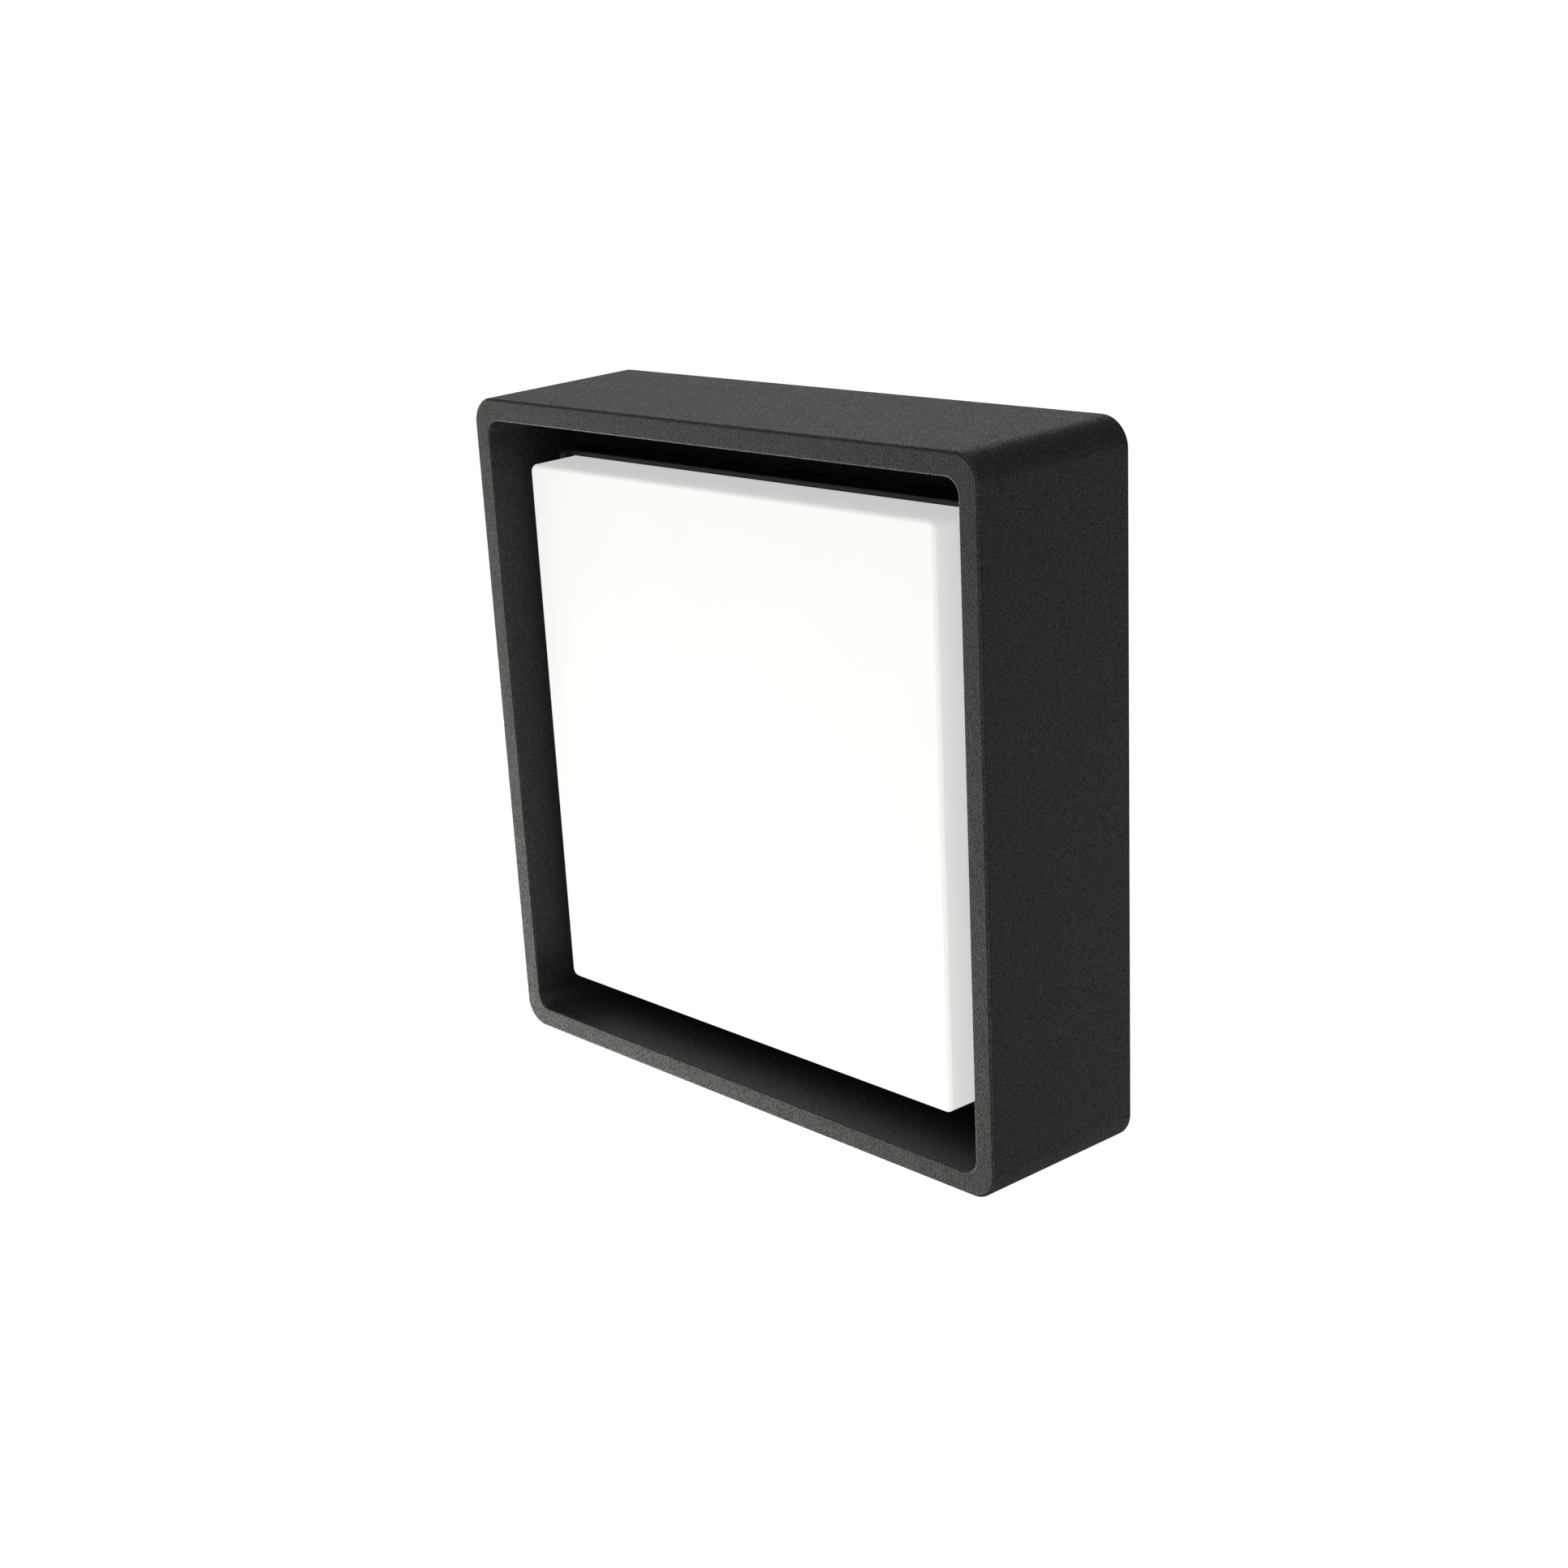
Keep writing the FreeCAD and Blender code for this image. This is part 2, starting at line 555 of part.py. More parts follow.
def diffuser_seal():
    """Black seal that wraps the cover's flange inside the tray's lip."""
    inner, outer = COVER_SEAL_HALF
    band = ring(inner, outer, TRAY_RADIUS - LIP_THICK, TRAY_OUT[1], COVER_SEAL_OUT)
    return band.cut(diffuser())


def diffuser_screws():
    """Eight screws from the back of the tray into the cover's bosses."""
    return screws(COVER_BOSSES, TRAY_OUT[0], 14.0, 2.5, -1)


def driver_case():
    """Plastic case of the driver, open towards the tray, with an ear at each end."""
    low, high = DRIVER_OUT
    wide, tall = DRIVER_SIZE
    body = rounded_slab(0, DRIVER_Z, wide, tall, low, high, 2.5)
    cavity = slab(0, DRIVER_Z, wide - 2 * DRIVER_WALL, tall - 2 * DRIVER_WALL, low + DRIVER_WALL, high + 1)
    body = body.cut(cavity)
    posts = [rod(sx * (wide / 2 - 5), DRIVER_Z + sz * (tall / 2 - 5), 2.5, low + 1, DRIVER_BOARD_OUT)
             for sx in (-1, 1) for sz in (-1, 1)]
    ears = [slab(x, z, DRIVER_EAR, 12.0, TRAY_OUT[0] - 3, TRAY_OUT[0]) for x, z in DRIVER_SCREWS]
    holes = [rod(x, z, 1.5, TRAY_OUT[0] - 4, TRAY_OUT[0] + 1) for x, z in DRIVER_SCREWS]
    return body.fuse(posts + ears).removeSplitter().cut(holes)


def driver_lid():
    """Lid between the driver's case and the tray."""
    return slab(0, DRIVER_Z, DRIVER_SIZE[0] - CLEAR, DRIVER_SIZE[1], DRIVER_OUT[1], TRAY_OUT[0])


def driver_board():
    """Circuit board on the case's four posts."""
    wide = DRIVER_SIZE[0] - 2 * DRIVER_WALL - 1
    tall = DRIVER_SIZE[1] - 2 * DRIVER_WALL - 1
    return slab(0, DRIVER_Z, wide, tall, DRIVER_BOARD_OUT, DRIVER_BOARD_OUT + BOARD_THICK)


def driver_transformer():
    """Transformer: a core with its winding standing proud on two sides."""
    low = DRIVER_BOARD_OUT - 9
    core = slab(-24, DRIVER_Z, 18, 20, low, DRIVER_BOARD_OUT)
    return core.fuse(rounded_slab(-24, DRIVER_Z, 24, 12, low + 1, DRIVER_BOARD_OUT, 3.0)).removeSplitter()


def driver_capacitors():
    """Three round capacitors."""
    places = [(4.0, DRIVER_Z - 7), (4.0, DRIVER_Z + 7), (16.0, DRIVER_Z)]
    return Part.makeCompound([rod(x, z, 4.0, DRIVER_BOARD_OUT - 8.5, DRIVER_BOARD_OUT) for x, z in places])


def driver_choke():
    """Ring choke."""
    middle = point(34.0, DRIVER_BOARD_OUT - 2.5, DRIVER_Z)
    return Part.makeTorus(5.5, 2.4, middle, point(0, 1, 0))


def driver_screws():
    """Two screws through the driver's ears into the tray."""
    return screws(DRIVER_SCREWS, TRAY_OUT[0] - 3, 5.3, 2.5, -1)


def plug_connector():
    """Moving half of the connector, on the back of the tray."""
    x, z = CONNECTOR_AT
    body = rounded_slab(x, z, *CONNECTOR_SIZE, PLUG_OUT, TRAY_OUT[0], 2.0)
    bores = [rod(*pin, PIN_R + 0.02, PLUG_OUT - 1, PLUG_OUT + 9) for pin in PINS]
    recesses = [rod(*place, 3.0, PLUG_OUT - 1, TRAY_OUT[0] - 3) for place in CONNECTOR_SCREWS]
    holes = [rod(*place, 1.5, TRAY_OUT[0] - 4, TRAY_OUT[0] + 1) for place in CONNECTOR_SCREWS]
    return body.cut(bores + recesses + holes)


def plug_pins():
    """Three pins that reach into the socket's contacts."""
    pins = []
    for pin in PINS:
        shaft = rod(*pin, PIN_R, BOSS_OUT + 4, PLUG_OUT + 9)
        pins.append(shaft.makeFillet(0.5, edges_at(shaft, BOSS_OUT + 4)))
    return Part.makeCompound(pins)


def plug_screws():
    """Two screws of the plug."""
    return screws(CONNECTOR_SCREWS, TRAY_OUT[0] - 3, 5.3, 2.5, -1)


def driver_lead(pin):
    """Lead from a pin of the plug to the driver, with a little slack."""
    low = CONNECTOR_AT[1] + CONNECTOR_SIZE[1] / 2
    high = DRIVER_Z - DRIVER_SIZE[1] / 2
    x = PINS[pin][0]
    aside = x - 9
    route = [point(x, TRAY_LEAD_OUT, low), point(x, TRAY_LEAD_OUT, low + 12),
             point(aside, TRAY_LEAD_OUT, high - 24), point(aside, TRAY_LEAD_OUT, high)]
    return lead(route, LEAD_D, 12.0)


def tray_earth_lead():
    """Lead from the plug to the ring tag on the tray."""
    low = CONNECTOR_AT[1] + CONNECTOR_SIZE[1] / 2
    x, z = TRAY_EARTH
    tag_out = TRAY_OUT[0] - 1.9
    route = [point(x, TRAY_LEAD_OUT, low), point(x, TRAY_LEAD_OUT, low + 9),
             point(x, tag_out, z - 18), point(x, tag_out, z - 8)]
    return lead(route, LEAD_D, 9.0)


def tray_earth_tag():
    """Ring tag on the tray."""
    x, z = TRAY_EARTH
    seat = TRAY_OUT[0]
    tag = rod(x, z, 4.0, seat - 0.8, seat).fuse(slab(x, z - 4, 3.0, 4.0, seat - 0.8, seat))
    barrel = Part.makeCylinder(1.8, 4, point(x, seat - 1.9, z - 8), FreeCAD.Vector(0, 0, 1))
    return tag.fuse(barrel).removeSplitter().cut(rod(x, z, 1.4, seat - 2, seat + 1))


def tray_earth_screw():
    """Screw that holds the ring tag on the tray."""
    return screw(*TRAY_EARTH, TRAY_OUT[0] - 0.8, 3.1, 2.5, -1)


def led_leads():
    """Two leads from the driver through the tray to the board's connector."""
    high = DRIVER_Z - DRIVER_SIZE[1] / 2
    tubes = []
    for x in (-1.4, 1.4):
        route = [point(x, TRAY_LEAD_OUT, high), point(x, TRAY_LEAD_OUT, 0), point(x, BOARD_FRONT, 0)]
        tubes.append(lead(route, 1.6, 5.5))
    return Part.makeCompound(tubes)


def lead_grommet():
    """Grommet in the tray's hole for the LED leads."""
    low, high = TRAY_OUT
    body = rod(0, 0, 4.45, low, high).fuse(rod(0, 0, 6.0, low - 1.2, low)).removeSplitter()
    return body.cut(rod(0, 0, 2.6, low - 2, high + 1))


def spring_clip():
    """Leaf clip on the +X side: a foot on the tray and a bowed leg along the chamber wall."""
    outer = [point(x + CLIP_THICK / 2, out, 0) for x, out in CLIP_LINE[1:]]
    inner = [point(x - CLIP_THICK / 2, out, 0) for x, out in reversed(CLIP_LINE[2:])]
    foot_x, foot_out = CLIP_LINE[0]
    corner_x = CLIP_LINE[1][0]
    outline = [point(foot_x, foot_out + CLIP_THICK / 2, 0), point(corner_x + CLIP_THICK / 2, TRAY_OUT[0], 0)]
    outline += outer[1:] + inner
    outline += [point(corner_x - CLIP_THICK / 2, foot_out - CLIP_THICK / 2, 0),
                point(foot_x, foot_out - CLIP_THICK / 2, 0)]
    face = Part.Face(Part.makePolygon(outline + outline[:1]))
    leaf = face.extrude(FreeCAD.Vector(0, 0, CLIP_WIDTH))
    leaf.translate(FreeCAD.Vector(0, 0, -CLIP_WIDTH / 2))
    return leaf.cut(rod(CLIP_SCREW_AT, 0, 1.4, TRAY_OUT[0] - 2, TRAY_OUT[0] + 1))


def spring_clips():
    """A leaf clip on each side."""
    clips = []
    for quarter in range(4):
        clip = spring_clip()
        clip.rotate(FreeCAD.Vector(0, 0, 0), FreeCAD.Vector(0, 1, 0), 90 * quarter)
        clips.append(clip)
    return Part.makeCompound(clips)


def clip_screws():
    """A screw for each clip."""
    return screws(CLIP_SCREWS, TRAY_OUT[0] - CLIP_THICK, 2.8, 2.5, -1)


NODES = {
    "outer_frame": outer_frame,
    "base_housing": base_housing,
    "wall_gasket": wall_gasket,
    "frame_screws": frame_screws,
    "wall_screw_seals": wall_screw_seals,
    "cable_grommet": cable_grommet,
    "blanking_plug": blanking_plug,
    "cord_clamp": cord_clamp,
    "cord_clamp_screws": cord_clamp_screws,
    "terminal_block": terminal_block,
    "terminal_clamps": terminal_clamps,
    "terminal_block_screws": terminal_block_screws,
    "earth_button": lambda: release_button(POLES[0]),
    "neutral_button": lambda: release_button(POLES[1]),
    "live_button": lambda: release_button(POLES[2]),
    "earth_tag": earth_tag,
    "earth_screw": earth_screw,
    "earth_bond_lead": earth_bond_lead,
    "live_lead": lambda: socket_lead(POLES[2], 0),
    "neutral_lead": lambda: socket_lead(POLES[1], 1),
    "earth_lead": lambda: socket_lead(POLES[0] + 2, 2),
    "socket_connector": socket_connector,
    "socket_contacts": socket_contacts,
    "socket_screws": socket_screws,
    "light_tray": light_tray,
    "tray_seal": tray_seal,
    "thermal_pad": thermal_pad,
    "led_board": led_board,
    "led_chips": led_chips,
    "led_board_screws": led_board_screws,
    "led_connector": led_connector,
    "reflector_sheet": reflector_sheet,
    "diffuser": diffuser,
    "diffuser_seal": diffuser_seal,
    "diffuser_screws": diffuser_screws,
    "driver_case": driver_case,
    "driver_lid": driver_lid,
    "driver_board": driver_board,
    "driver_transformer": driver_transformer,
    "driver_capacitors": driver_capacitors,
    "driver_choke": driver_choke,
    "driver_screws": driver_screws,
    "plug_connector": plug_connector,
    "plug_pins": plug_pins,
    "plug_screws": plug_screws,
    "driver_live_lead": lambda: driver_lead(0),
    "driver_neutral_lead": lambda: driver_lead(1),
    "tray_earth_lead": tray_earth_lead,
    "tray_earth_tag": tray_earth_tag,
    "tray_earth_screw": tray_earth_screw,
    "led_leads": led_leads,
    "lead_grommet": lead_grommet,
    "spring_clips": spring_clips,
    "clip_screws": clip_screws,
}

os.makedirs("parts", exist_ok=True)
for name, make in NODES.items():
    shape = make()
    shape.exportStep(f"parts/{name}.step")
    print(f"{name}: {len(shape.Solids)} solids, {shape.Volume:.1f} mm3, valid {shape.isValid()}")
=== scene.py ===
"""Square outdoor wall lantern: cast frame, recessed opal cover, plug-in light unit and wall base.

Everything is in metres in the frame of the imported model: X right, Z up, the wall plane at y = 0
and the front towards -Y. "out" is a distance in front of the wall plane, so a point lies at
y = -out, and "half" is half the width of a square outline about the lantern's middle line.
"""

import logging
import math
from collections.abc import Iterable, Sequence
from dataclasses import dataclass, field
from enum import Enum
from functools import cache
from typing import Any

import bmesh
import bpy
from mathutils import Matrix, Vector


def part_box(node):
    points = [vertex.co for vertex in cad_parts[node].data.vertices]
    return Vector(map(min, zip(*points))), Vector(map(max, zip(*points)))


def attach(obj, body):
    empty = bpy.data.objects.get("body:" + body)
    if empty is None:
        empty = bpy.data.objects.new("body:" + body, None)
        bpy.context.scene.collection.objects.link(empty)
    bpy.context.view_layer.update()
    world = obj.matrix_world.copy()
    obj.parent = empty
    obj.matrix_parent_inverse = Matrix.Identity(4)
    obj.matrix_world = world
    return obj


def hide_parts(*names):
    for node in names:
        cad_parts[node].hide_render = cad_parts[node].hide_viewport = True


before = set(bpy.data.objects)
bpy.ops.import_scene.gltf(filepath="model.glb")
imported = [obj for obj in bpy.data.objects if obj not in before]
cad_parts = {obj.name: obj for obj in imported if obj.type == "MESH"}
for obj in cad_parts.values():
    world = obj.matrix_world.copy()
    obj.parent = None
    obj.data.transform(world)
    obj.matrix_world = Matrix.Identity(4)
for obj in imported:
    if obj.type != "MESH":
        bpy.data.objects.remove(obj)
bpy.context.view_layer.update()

LOG = logging.getLogger("lantern")
MM = 0.001
SHARP_ANGLE = math.radians(32)
FLAT_ANGLE = math.radians(0.6)
WELD = 0.001 * MM
SEED = 11
QUARTER = math.pi / 2
HEAD_SIDES = 40
SHANK_SIDES = 24
RECESS = (1.15, 0.24)
RECESS_DEPTH = 1.1
CORNER_STEPS = 12

Colour = tuple[float, float, float]
Station = tuple[float, float, float]


# ---------------------------------------------------------------------------
# Node graphs
# ---------------------------------------------------------------------------

class Signal:
    """A number that flows through a node tree, with Python's operators as Math nodes."""

    def __init__(self, graph: "Graph", socket: bpy.types.NodeSocket) -> None:
        """Wrap an output socket of a graph."""
        self.graph = graph
        self.socket = socket

    def _maths(self, operation: str, left: Any, right: Any) -> "Signal":
        """Join two values with a Math node.

        Args:
            operation: The node's operation.
            left: First value.
            right: Second value.

        Returns:
            The node's result.
        """
        node = self.graph.node("ShaderNodeMath", {"operation": operation}, {0: left, 1: right})
        return Signal(self.graph, node.outputs[0])

    def __add__(self, other: Any) -> "Signal":
        """Sum."""
        return self._maths("ADD", self, other)

    def __radd__(self, other: Any) -> "Signal":
        """Sum, with the number first."""
        return self._maths("ADD", other, self)

    def __sub__(self, other: Any) -> "Signal":
        """Difference."""
        return self._maths("SUBTRACT", self, other)

    def __rsub__(self, other: Any) -> "Signal":
        """Difference, with the number first."""
        return self._maths("SUBTRACT", other, self)

    def __mul__(self, other: Any) -> "Signal":
        """Product."""
        return self._maths("MULTIPLY", self, other)

    def __rmul__(self, other: Any) -> "Signal":
        """Product, with the number first."""
        return self._maths("MULTIPLY", other, self)

    def __truediv__(self, other: Any) -> "Signal":
        """Quotient."""
        return self._maths("DIVIDE", self, other)

    def __mod__(self, other: Any) -> "Signal":
        """Remainder."""
        return self._maths("FLOORED_MODULO", self, other)

    def floor(self) -> "Signal":
        """The whole number below."""
        return self._maths("FLOOR", self, 0.0)

    def above(self, limit: Any) -> "Signal":
        """1 where the value is above a limit, else 0."""
        return self._maths("GREATER_THAN", self, limit)

    def sine(self) -> "Signal":
        """The sine of the value."""
        return self._maths("SINE", self, 0.0)


class Graph:
    """Adds nodes to a shader or geometry tree, one call for each."""

    def __init__(self, tree: bpy.types.NodeTree) -> None:
        """Take over a tree."""
        self.tree = tree

    def node(self, kind: str, settings: dict[str, Any] | None = None,
             sockets: dict[str | int, Any] | None = None) -> bpy.types.Node:
        """Add a node, set it up and feed its sockets.

        Args:
            kind: The node's type name.
            settings: Its properties, set first.
            sockets: Values, signals or output sockets, by the input's name or number.

        Returns:
            The new node.
        """
        node = self.tree.nodes.new(kind)
        for key, value in (settings or {}).items():
            setattr(node, key, value)
        for key, value in (sockets or {}).items():
            self.give(node.inputs[key], value)
        return node

    def give(self, target: bpy.types.NodeSocket, value: Any) -> None:
        """Link a socket to a signal or an output, or set its value.

        Args:
            target: The input socket.
            value: A signal, an output socket or a plain value.
        """
        if isinstance(value, Signal):
            self.tree.links.new(value.socket, target)
        elif isinstance(value, bpy.types.NodeSocket):
            self.tree.links.new(value, target)
        else:
            target.default_value = value

    def signal(self, node: bpy.types.Node, output: str | int = 0) -> Signal:
        """One output of a node as a number."""
        return Signal(self, node.outputs[output])

    def vector(self, operation: str, left: Any, right: Any) -> bpy.types.NodeSocket:
        """Join two vectors with a Vector Math node.

        Args:
            operation: The node's operation, one that gives a vector.
            left: First vector.
            right: Second vector.

        Returns:
            The resulting vector.
        """
        node = self.node("ShaderNodeVectorMath", {"operation": operation}, {0: left, 1: right})
        return node.outputs["Vector"]

    def parts(self, vector: Any) -> tuple[Signal, Signal, Signal]:
        """The X, Y and Z of a vector."""
        node = self.node("ShaderNodeSeparateXYZ", None, {0: vector})
        return self.signal(node, 0), self.signal(node, 1), self.signal(node, 2)

    def joined(self, x: Any, y: Any, z: Any) -> bpy.types.NodeSocket:
        """A vector from three numbers."""
        return self.node("ShaderNodeCombineXYZ", None, {0: x, 1: y, 2: z}).outputs[0]


class ShaderGraph(Graph):
    """The shader tree of one material, with its Principled shader at hand."""

    def __init__(self, material: bpy.types.Material) -> None:
        """Empty the material's tree and add the shader and the output."""
        material.use_nodes = True
        super().__init__(material.node_tree)
        self.tree.nodes.clear()
        self.shader = self.node("ShaderNodeBsdfPrincipled")
        self.node("ShaderNodeOutputMaterial", None, {"Surface": self.shader.outputs[0]})
        self.place = self.node("ShaderNodeTexCoord").outputs["Object"]

    def feed(self, **sockets: Any) -> None:
        """Set or link sockets of the shader; an underscore in a name stands for a space."""
        for key, value in sockets.items():
            self.give(self.shader.inputs[key.replace("_", " ")], value)

    def noise(self, grain: float, detail: float = 2.0, place: Any = None,
              rough: float = 0.5) -> Signal:
        """Noise on the piece's own coordinates.

        Args:
            grain: Rough width of a feature, in metres.
            detail: Number of finer layers.
            place: Coordinates to use instead.
            rough: Strength of the finer layers.

        Returns:
            The noise, from 0 to 1.
        """
        node = self.node("ShaderNodeTexNoise", None, {
            "Vector": place or self.place, "Scale": 1.0 / grain,
            "Detail": detail, "Roughness": rough})
        return self.signal(node, 0)

    def cells(self, grain: float) -> Signal:
        """Distance to the nearest of scattered points about one grain apart."""
        node = self.node("ShaderNodeTexVoronoi", None,
                         {"Vector": self.place, "Scale": 1.0 / grain})
        return self.signal(node, "Distance")

    def ramp(self, value: Signal, low: float, high: float) -> Signal:
        """Stretch a value.

        Args:
            value: What to stretch.
            low: The value that becomes 0.
            high: The value that becomes 1.

        Returns:
            The stretched value, held between 0 and 1.
        """
        node = self.node("ShaderNodeMapRange", None,
                         {"Value": value, "From Min": low, "From Max": high})
        return self.signal(node, 0)

    def blend(self, factor: Any, first: Any, second: Any) -> bpy.types.NodeSocket:
        """Mix two colours.

        Args:
            factor: Share of the second colour.
            first: First colour or socket.
            second: Second colour or socket.

        Returns:
            The mixed colour.
        """
        colours = [(*c, 1.0) if isinstance(c, tuple) else c for c in (first, second)]
        node = self.node("ShaderNodeMix", {"data_type": "RGBA"},
                         {0: factor, 6: colours[0], 7: colours[1]})
        return node.outputs[2]

    def bump(self, height: Any, depth: float) -> bpy.types.NodeSocket:
        """Turn a height into a normal.

        Args:
            height: The height, between 0 and 1.
            depth: The depth in metres that a height of 1 stands for.

        Returns:
            The normal.
        """
        return self.node("ShaderNodeBump", None, {"Height": height, "Distance": depth}).outputs[0]


# ---------------------------------------------------------------------------
# Finishes
# ---------------------------------------------------------------------------

class Pattern(Enum):
    """What a moulded or sheathed part shows besides its grain."""

    PLAIN = "plain"
    STRIPED = "striped"
    TRACED = "traced"
    WOUND = "wound"


@dataclass(frozen=True)
class Finish:
    """A finish: a name and a base colour, and a material made from them on first use."""

    name: str
    colour: Colour

    @cache
    def material(self) -> bpy.types.Material:
        """The finish's material, made once."""
        material = bpy.data.materials.new(self.name + "_finish")
        self.paint(ShaderGraph(material))
        material.diffuse_color = (*self.colour, 1.0)
        return material

    def paint(self, graph: ShaderGraph) -> None:
        """Build the shader."""
        raise NotImplementedError

    def toned(self, amount: float) -> Colour:
        """The base colour, lighter or darker by a factor."""
        return tuple(min(1.0, c * amount) for c in self.colour)


@dataclass(frozen=True)
class PowderCoat(Finish):
    """Textured powder coat: fine pimples over a slow orange peel."""

    grain: float = 0.65 * MM
    peel: float = 4.0 * MM
    depth: float = 0.11 * MM
    roughness: float = 0.55
    speckle: float = 0.95

    def paint(self, graph: ShaderGraph) -> None:
        """Build the coat."""
        pimples = graph.noise(self.grain, 2.0, rough=0.6)
        specks = graph.ramp(graph.cells(self.grain), 0.15, 0.7)
        peel = graph.noise(self.peel, 1.0)
        cloud = graph.noise(18 * self.peel, 2.0)
        tone = graph.ramp(pimples * 0.6 + specks * 0.4, 0.38, 0.66)
        grainy = graph.blend(tone, self.toned(1 - self.speckle), self.toned(1 + self.speckle))
        clouded = graph.blend(graph.ramp(cloud, 0.3, 0.7), self.toned(0.9), self.toned(1.1))
        height = pimples * 0.6 + specks * 0.3 + peel * 0.5
        graph.feed(
            Base_Color=graph.blend(0.2, grainy, clouded),
            Roughness=self.roughness + (peel - 0.5) * 0.1 + (0.5 - tone) * 0.25,
            Normal=graph.bump(height, self.depth))


@dataclass(frozen=True)
class Opal(Finish):
    """Opal plastic: milky, satin, with a trace of moulding flow, and a painted glow: the cover
    emits light though the lamp is off.
    """

    roughness: float = 0.32
    depth: float = 0.004 * MM
    # painted glow: emission strength that brightens the cover's shaded sides although the lamp is
    # off
    painted_glow: float = 0.55

    def paint(self, graph: ShaderGraph) -> None:
        """Build the milky shader, with its painted glow."""
        flow = graph.noise(28 * MM, 2.0)
        haze = graph.noise(1.6 * MM, 2.0)
        colour = graph.blend(graph.ramp(flow, 0.3, 0.7), self.toned(0.99), self.toned(1.01))
        graph.feed(
            Base_Color=colour,
            Roughness=self.roughness + (haze - 0.5) * 0.05 + (flow - 0.5) * 0.04,
            Subsurface_Weight=0.25, Subsurface_Scale=2.0 * MM, Subsurface_Radius=(1.0, 1.0, 1.0),
            # Painted glow: the cover emits light as if lit, though it is no lit lamp.
            Emission_Color=(1.0, 0.995, 0.98, 1.0), Emission_Strength=self.painted_glow,
            Normal=graph.bump(haze, self.depth))


@dataclass(frozen=True)
class Rubber(Finish):
    """Matt rubber or foam with a dusty bloom."""

    grain: float = 0.4 * MM
    depth: float = 0.03 * MM
    roughness: float = 0.8

    def paint(self, graph: ShaderGraph) -> None:
        """Build the rubber."""
        pores = graph.noise(self.grain, 3.0)
        bloom = graph.noise(12 * MM, 3.0)
        colour = graph.blend(graph.ramp(bloom, 0.35, 0.75), self.colour, self.toned(1.7))
        graph.feed(Base_Color=colour, Roughness=self.roughness + (bloom - 0.5) * 0.12,
                   Normal=graph.bump(pores, self.depth))


@dataclass(frozen=True)
class PlatedMetal(Finish):
    """Plated or bright metal with fine drawing lines along one direction."""

    roughness: float = 0.3
    grain: float = 0.12 * MM
    stretch: Station = (1.0, 12.0, 1.0)
    depth: float = 0.006 * MM
    metal: float = 1.0

    def paint(self, graph: ShaderGraph) -> None:
        """Build the metal."""
        along = graph.vector("DIVIDE", graph.place, self.stretch)
        lines = graph.noise(self.grain, 2.0, along)
        cloud = graph.noise(4 * MM, 3.0)
        colour = graph.blend(graph.ramp(cloud, 0.3, 0.7), self.toned(0.86), self.toned(1.08))
        graph.feed(
            Base_Color=colour, Metallic=self.metal,
            Roughness=self.roughness + (lines - 0.5) * 0.18 + (cloud - 0.5) * 0.12,
            Normal=graph.bump(lines, self.depth))


@dataclass(frozen=True)
class MouldedPlastic(Finish):
    """Moulded plastic, with a spark-eroded grain and an optional second tone."""

    grain: float = 0.35 * MM
    depth: float = 0.02 * MM
    roughness: float = 0.45
    pattern: Pattern = Pattern.PLAIN
    second: Colour = (0.0, 0.0, 0.0)
    pitch: float = 6.0 * MM

    def paint(self, graph: ShaderGraph) -> None:
        """Build the plastic."""
        spark = graph.noise(self.grain, 2.0)
        flow = graph.noise(14 * MM, 2.0)
        colour = graph.blend(graph.ramp(flow, 0.3, 0.7), self.toned(0.95), self.toned(1.05))
        height = spark
        mask = self._mask(graph)
        if mask is not None:
            colour = graph.blend(mask, colour, self.second)
            height = spark * 0.3 + mask * 0.7
        graph.feed(Base_Color=colour,
                   Roughness=self.roughness + (spark - 0.5) * 0.1 + (flow - 0.5) * 0.06,
                   Normal=graph.bump(height, self.depth))

    def _mask(self, graph: ShaderGraph) -> Signal | None:
        """Where the second tone lies, or nothing on a plain part."""
        if self.pattern is Pattern.PLAIN:
            return None
        x, y, z = graph.parts(graph.place)
        if self.pattern is Pattern.STRIPED:
            return (((x + z) * 0.5 + y) / self.pitch % 1.0).above(0.62)
        if self.pattern is Pattern.WOUND:
            return graph.ramp((z * (math.tau / self.pitch)).sine(), -0.6, 0.9)
        rows = ((x / self.pitch) % 1.0).above(0.72)
        columns = ((z / (1.7 * self.pitch)) % 1.0).above(0.8)
        broken = graph.noise(5 * self.pitch, 1.0).above(0.5)
        return rows * broken + columns * (1 - broken)


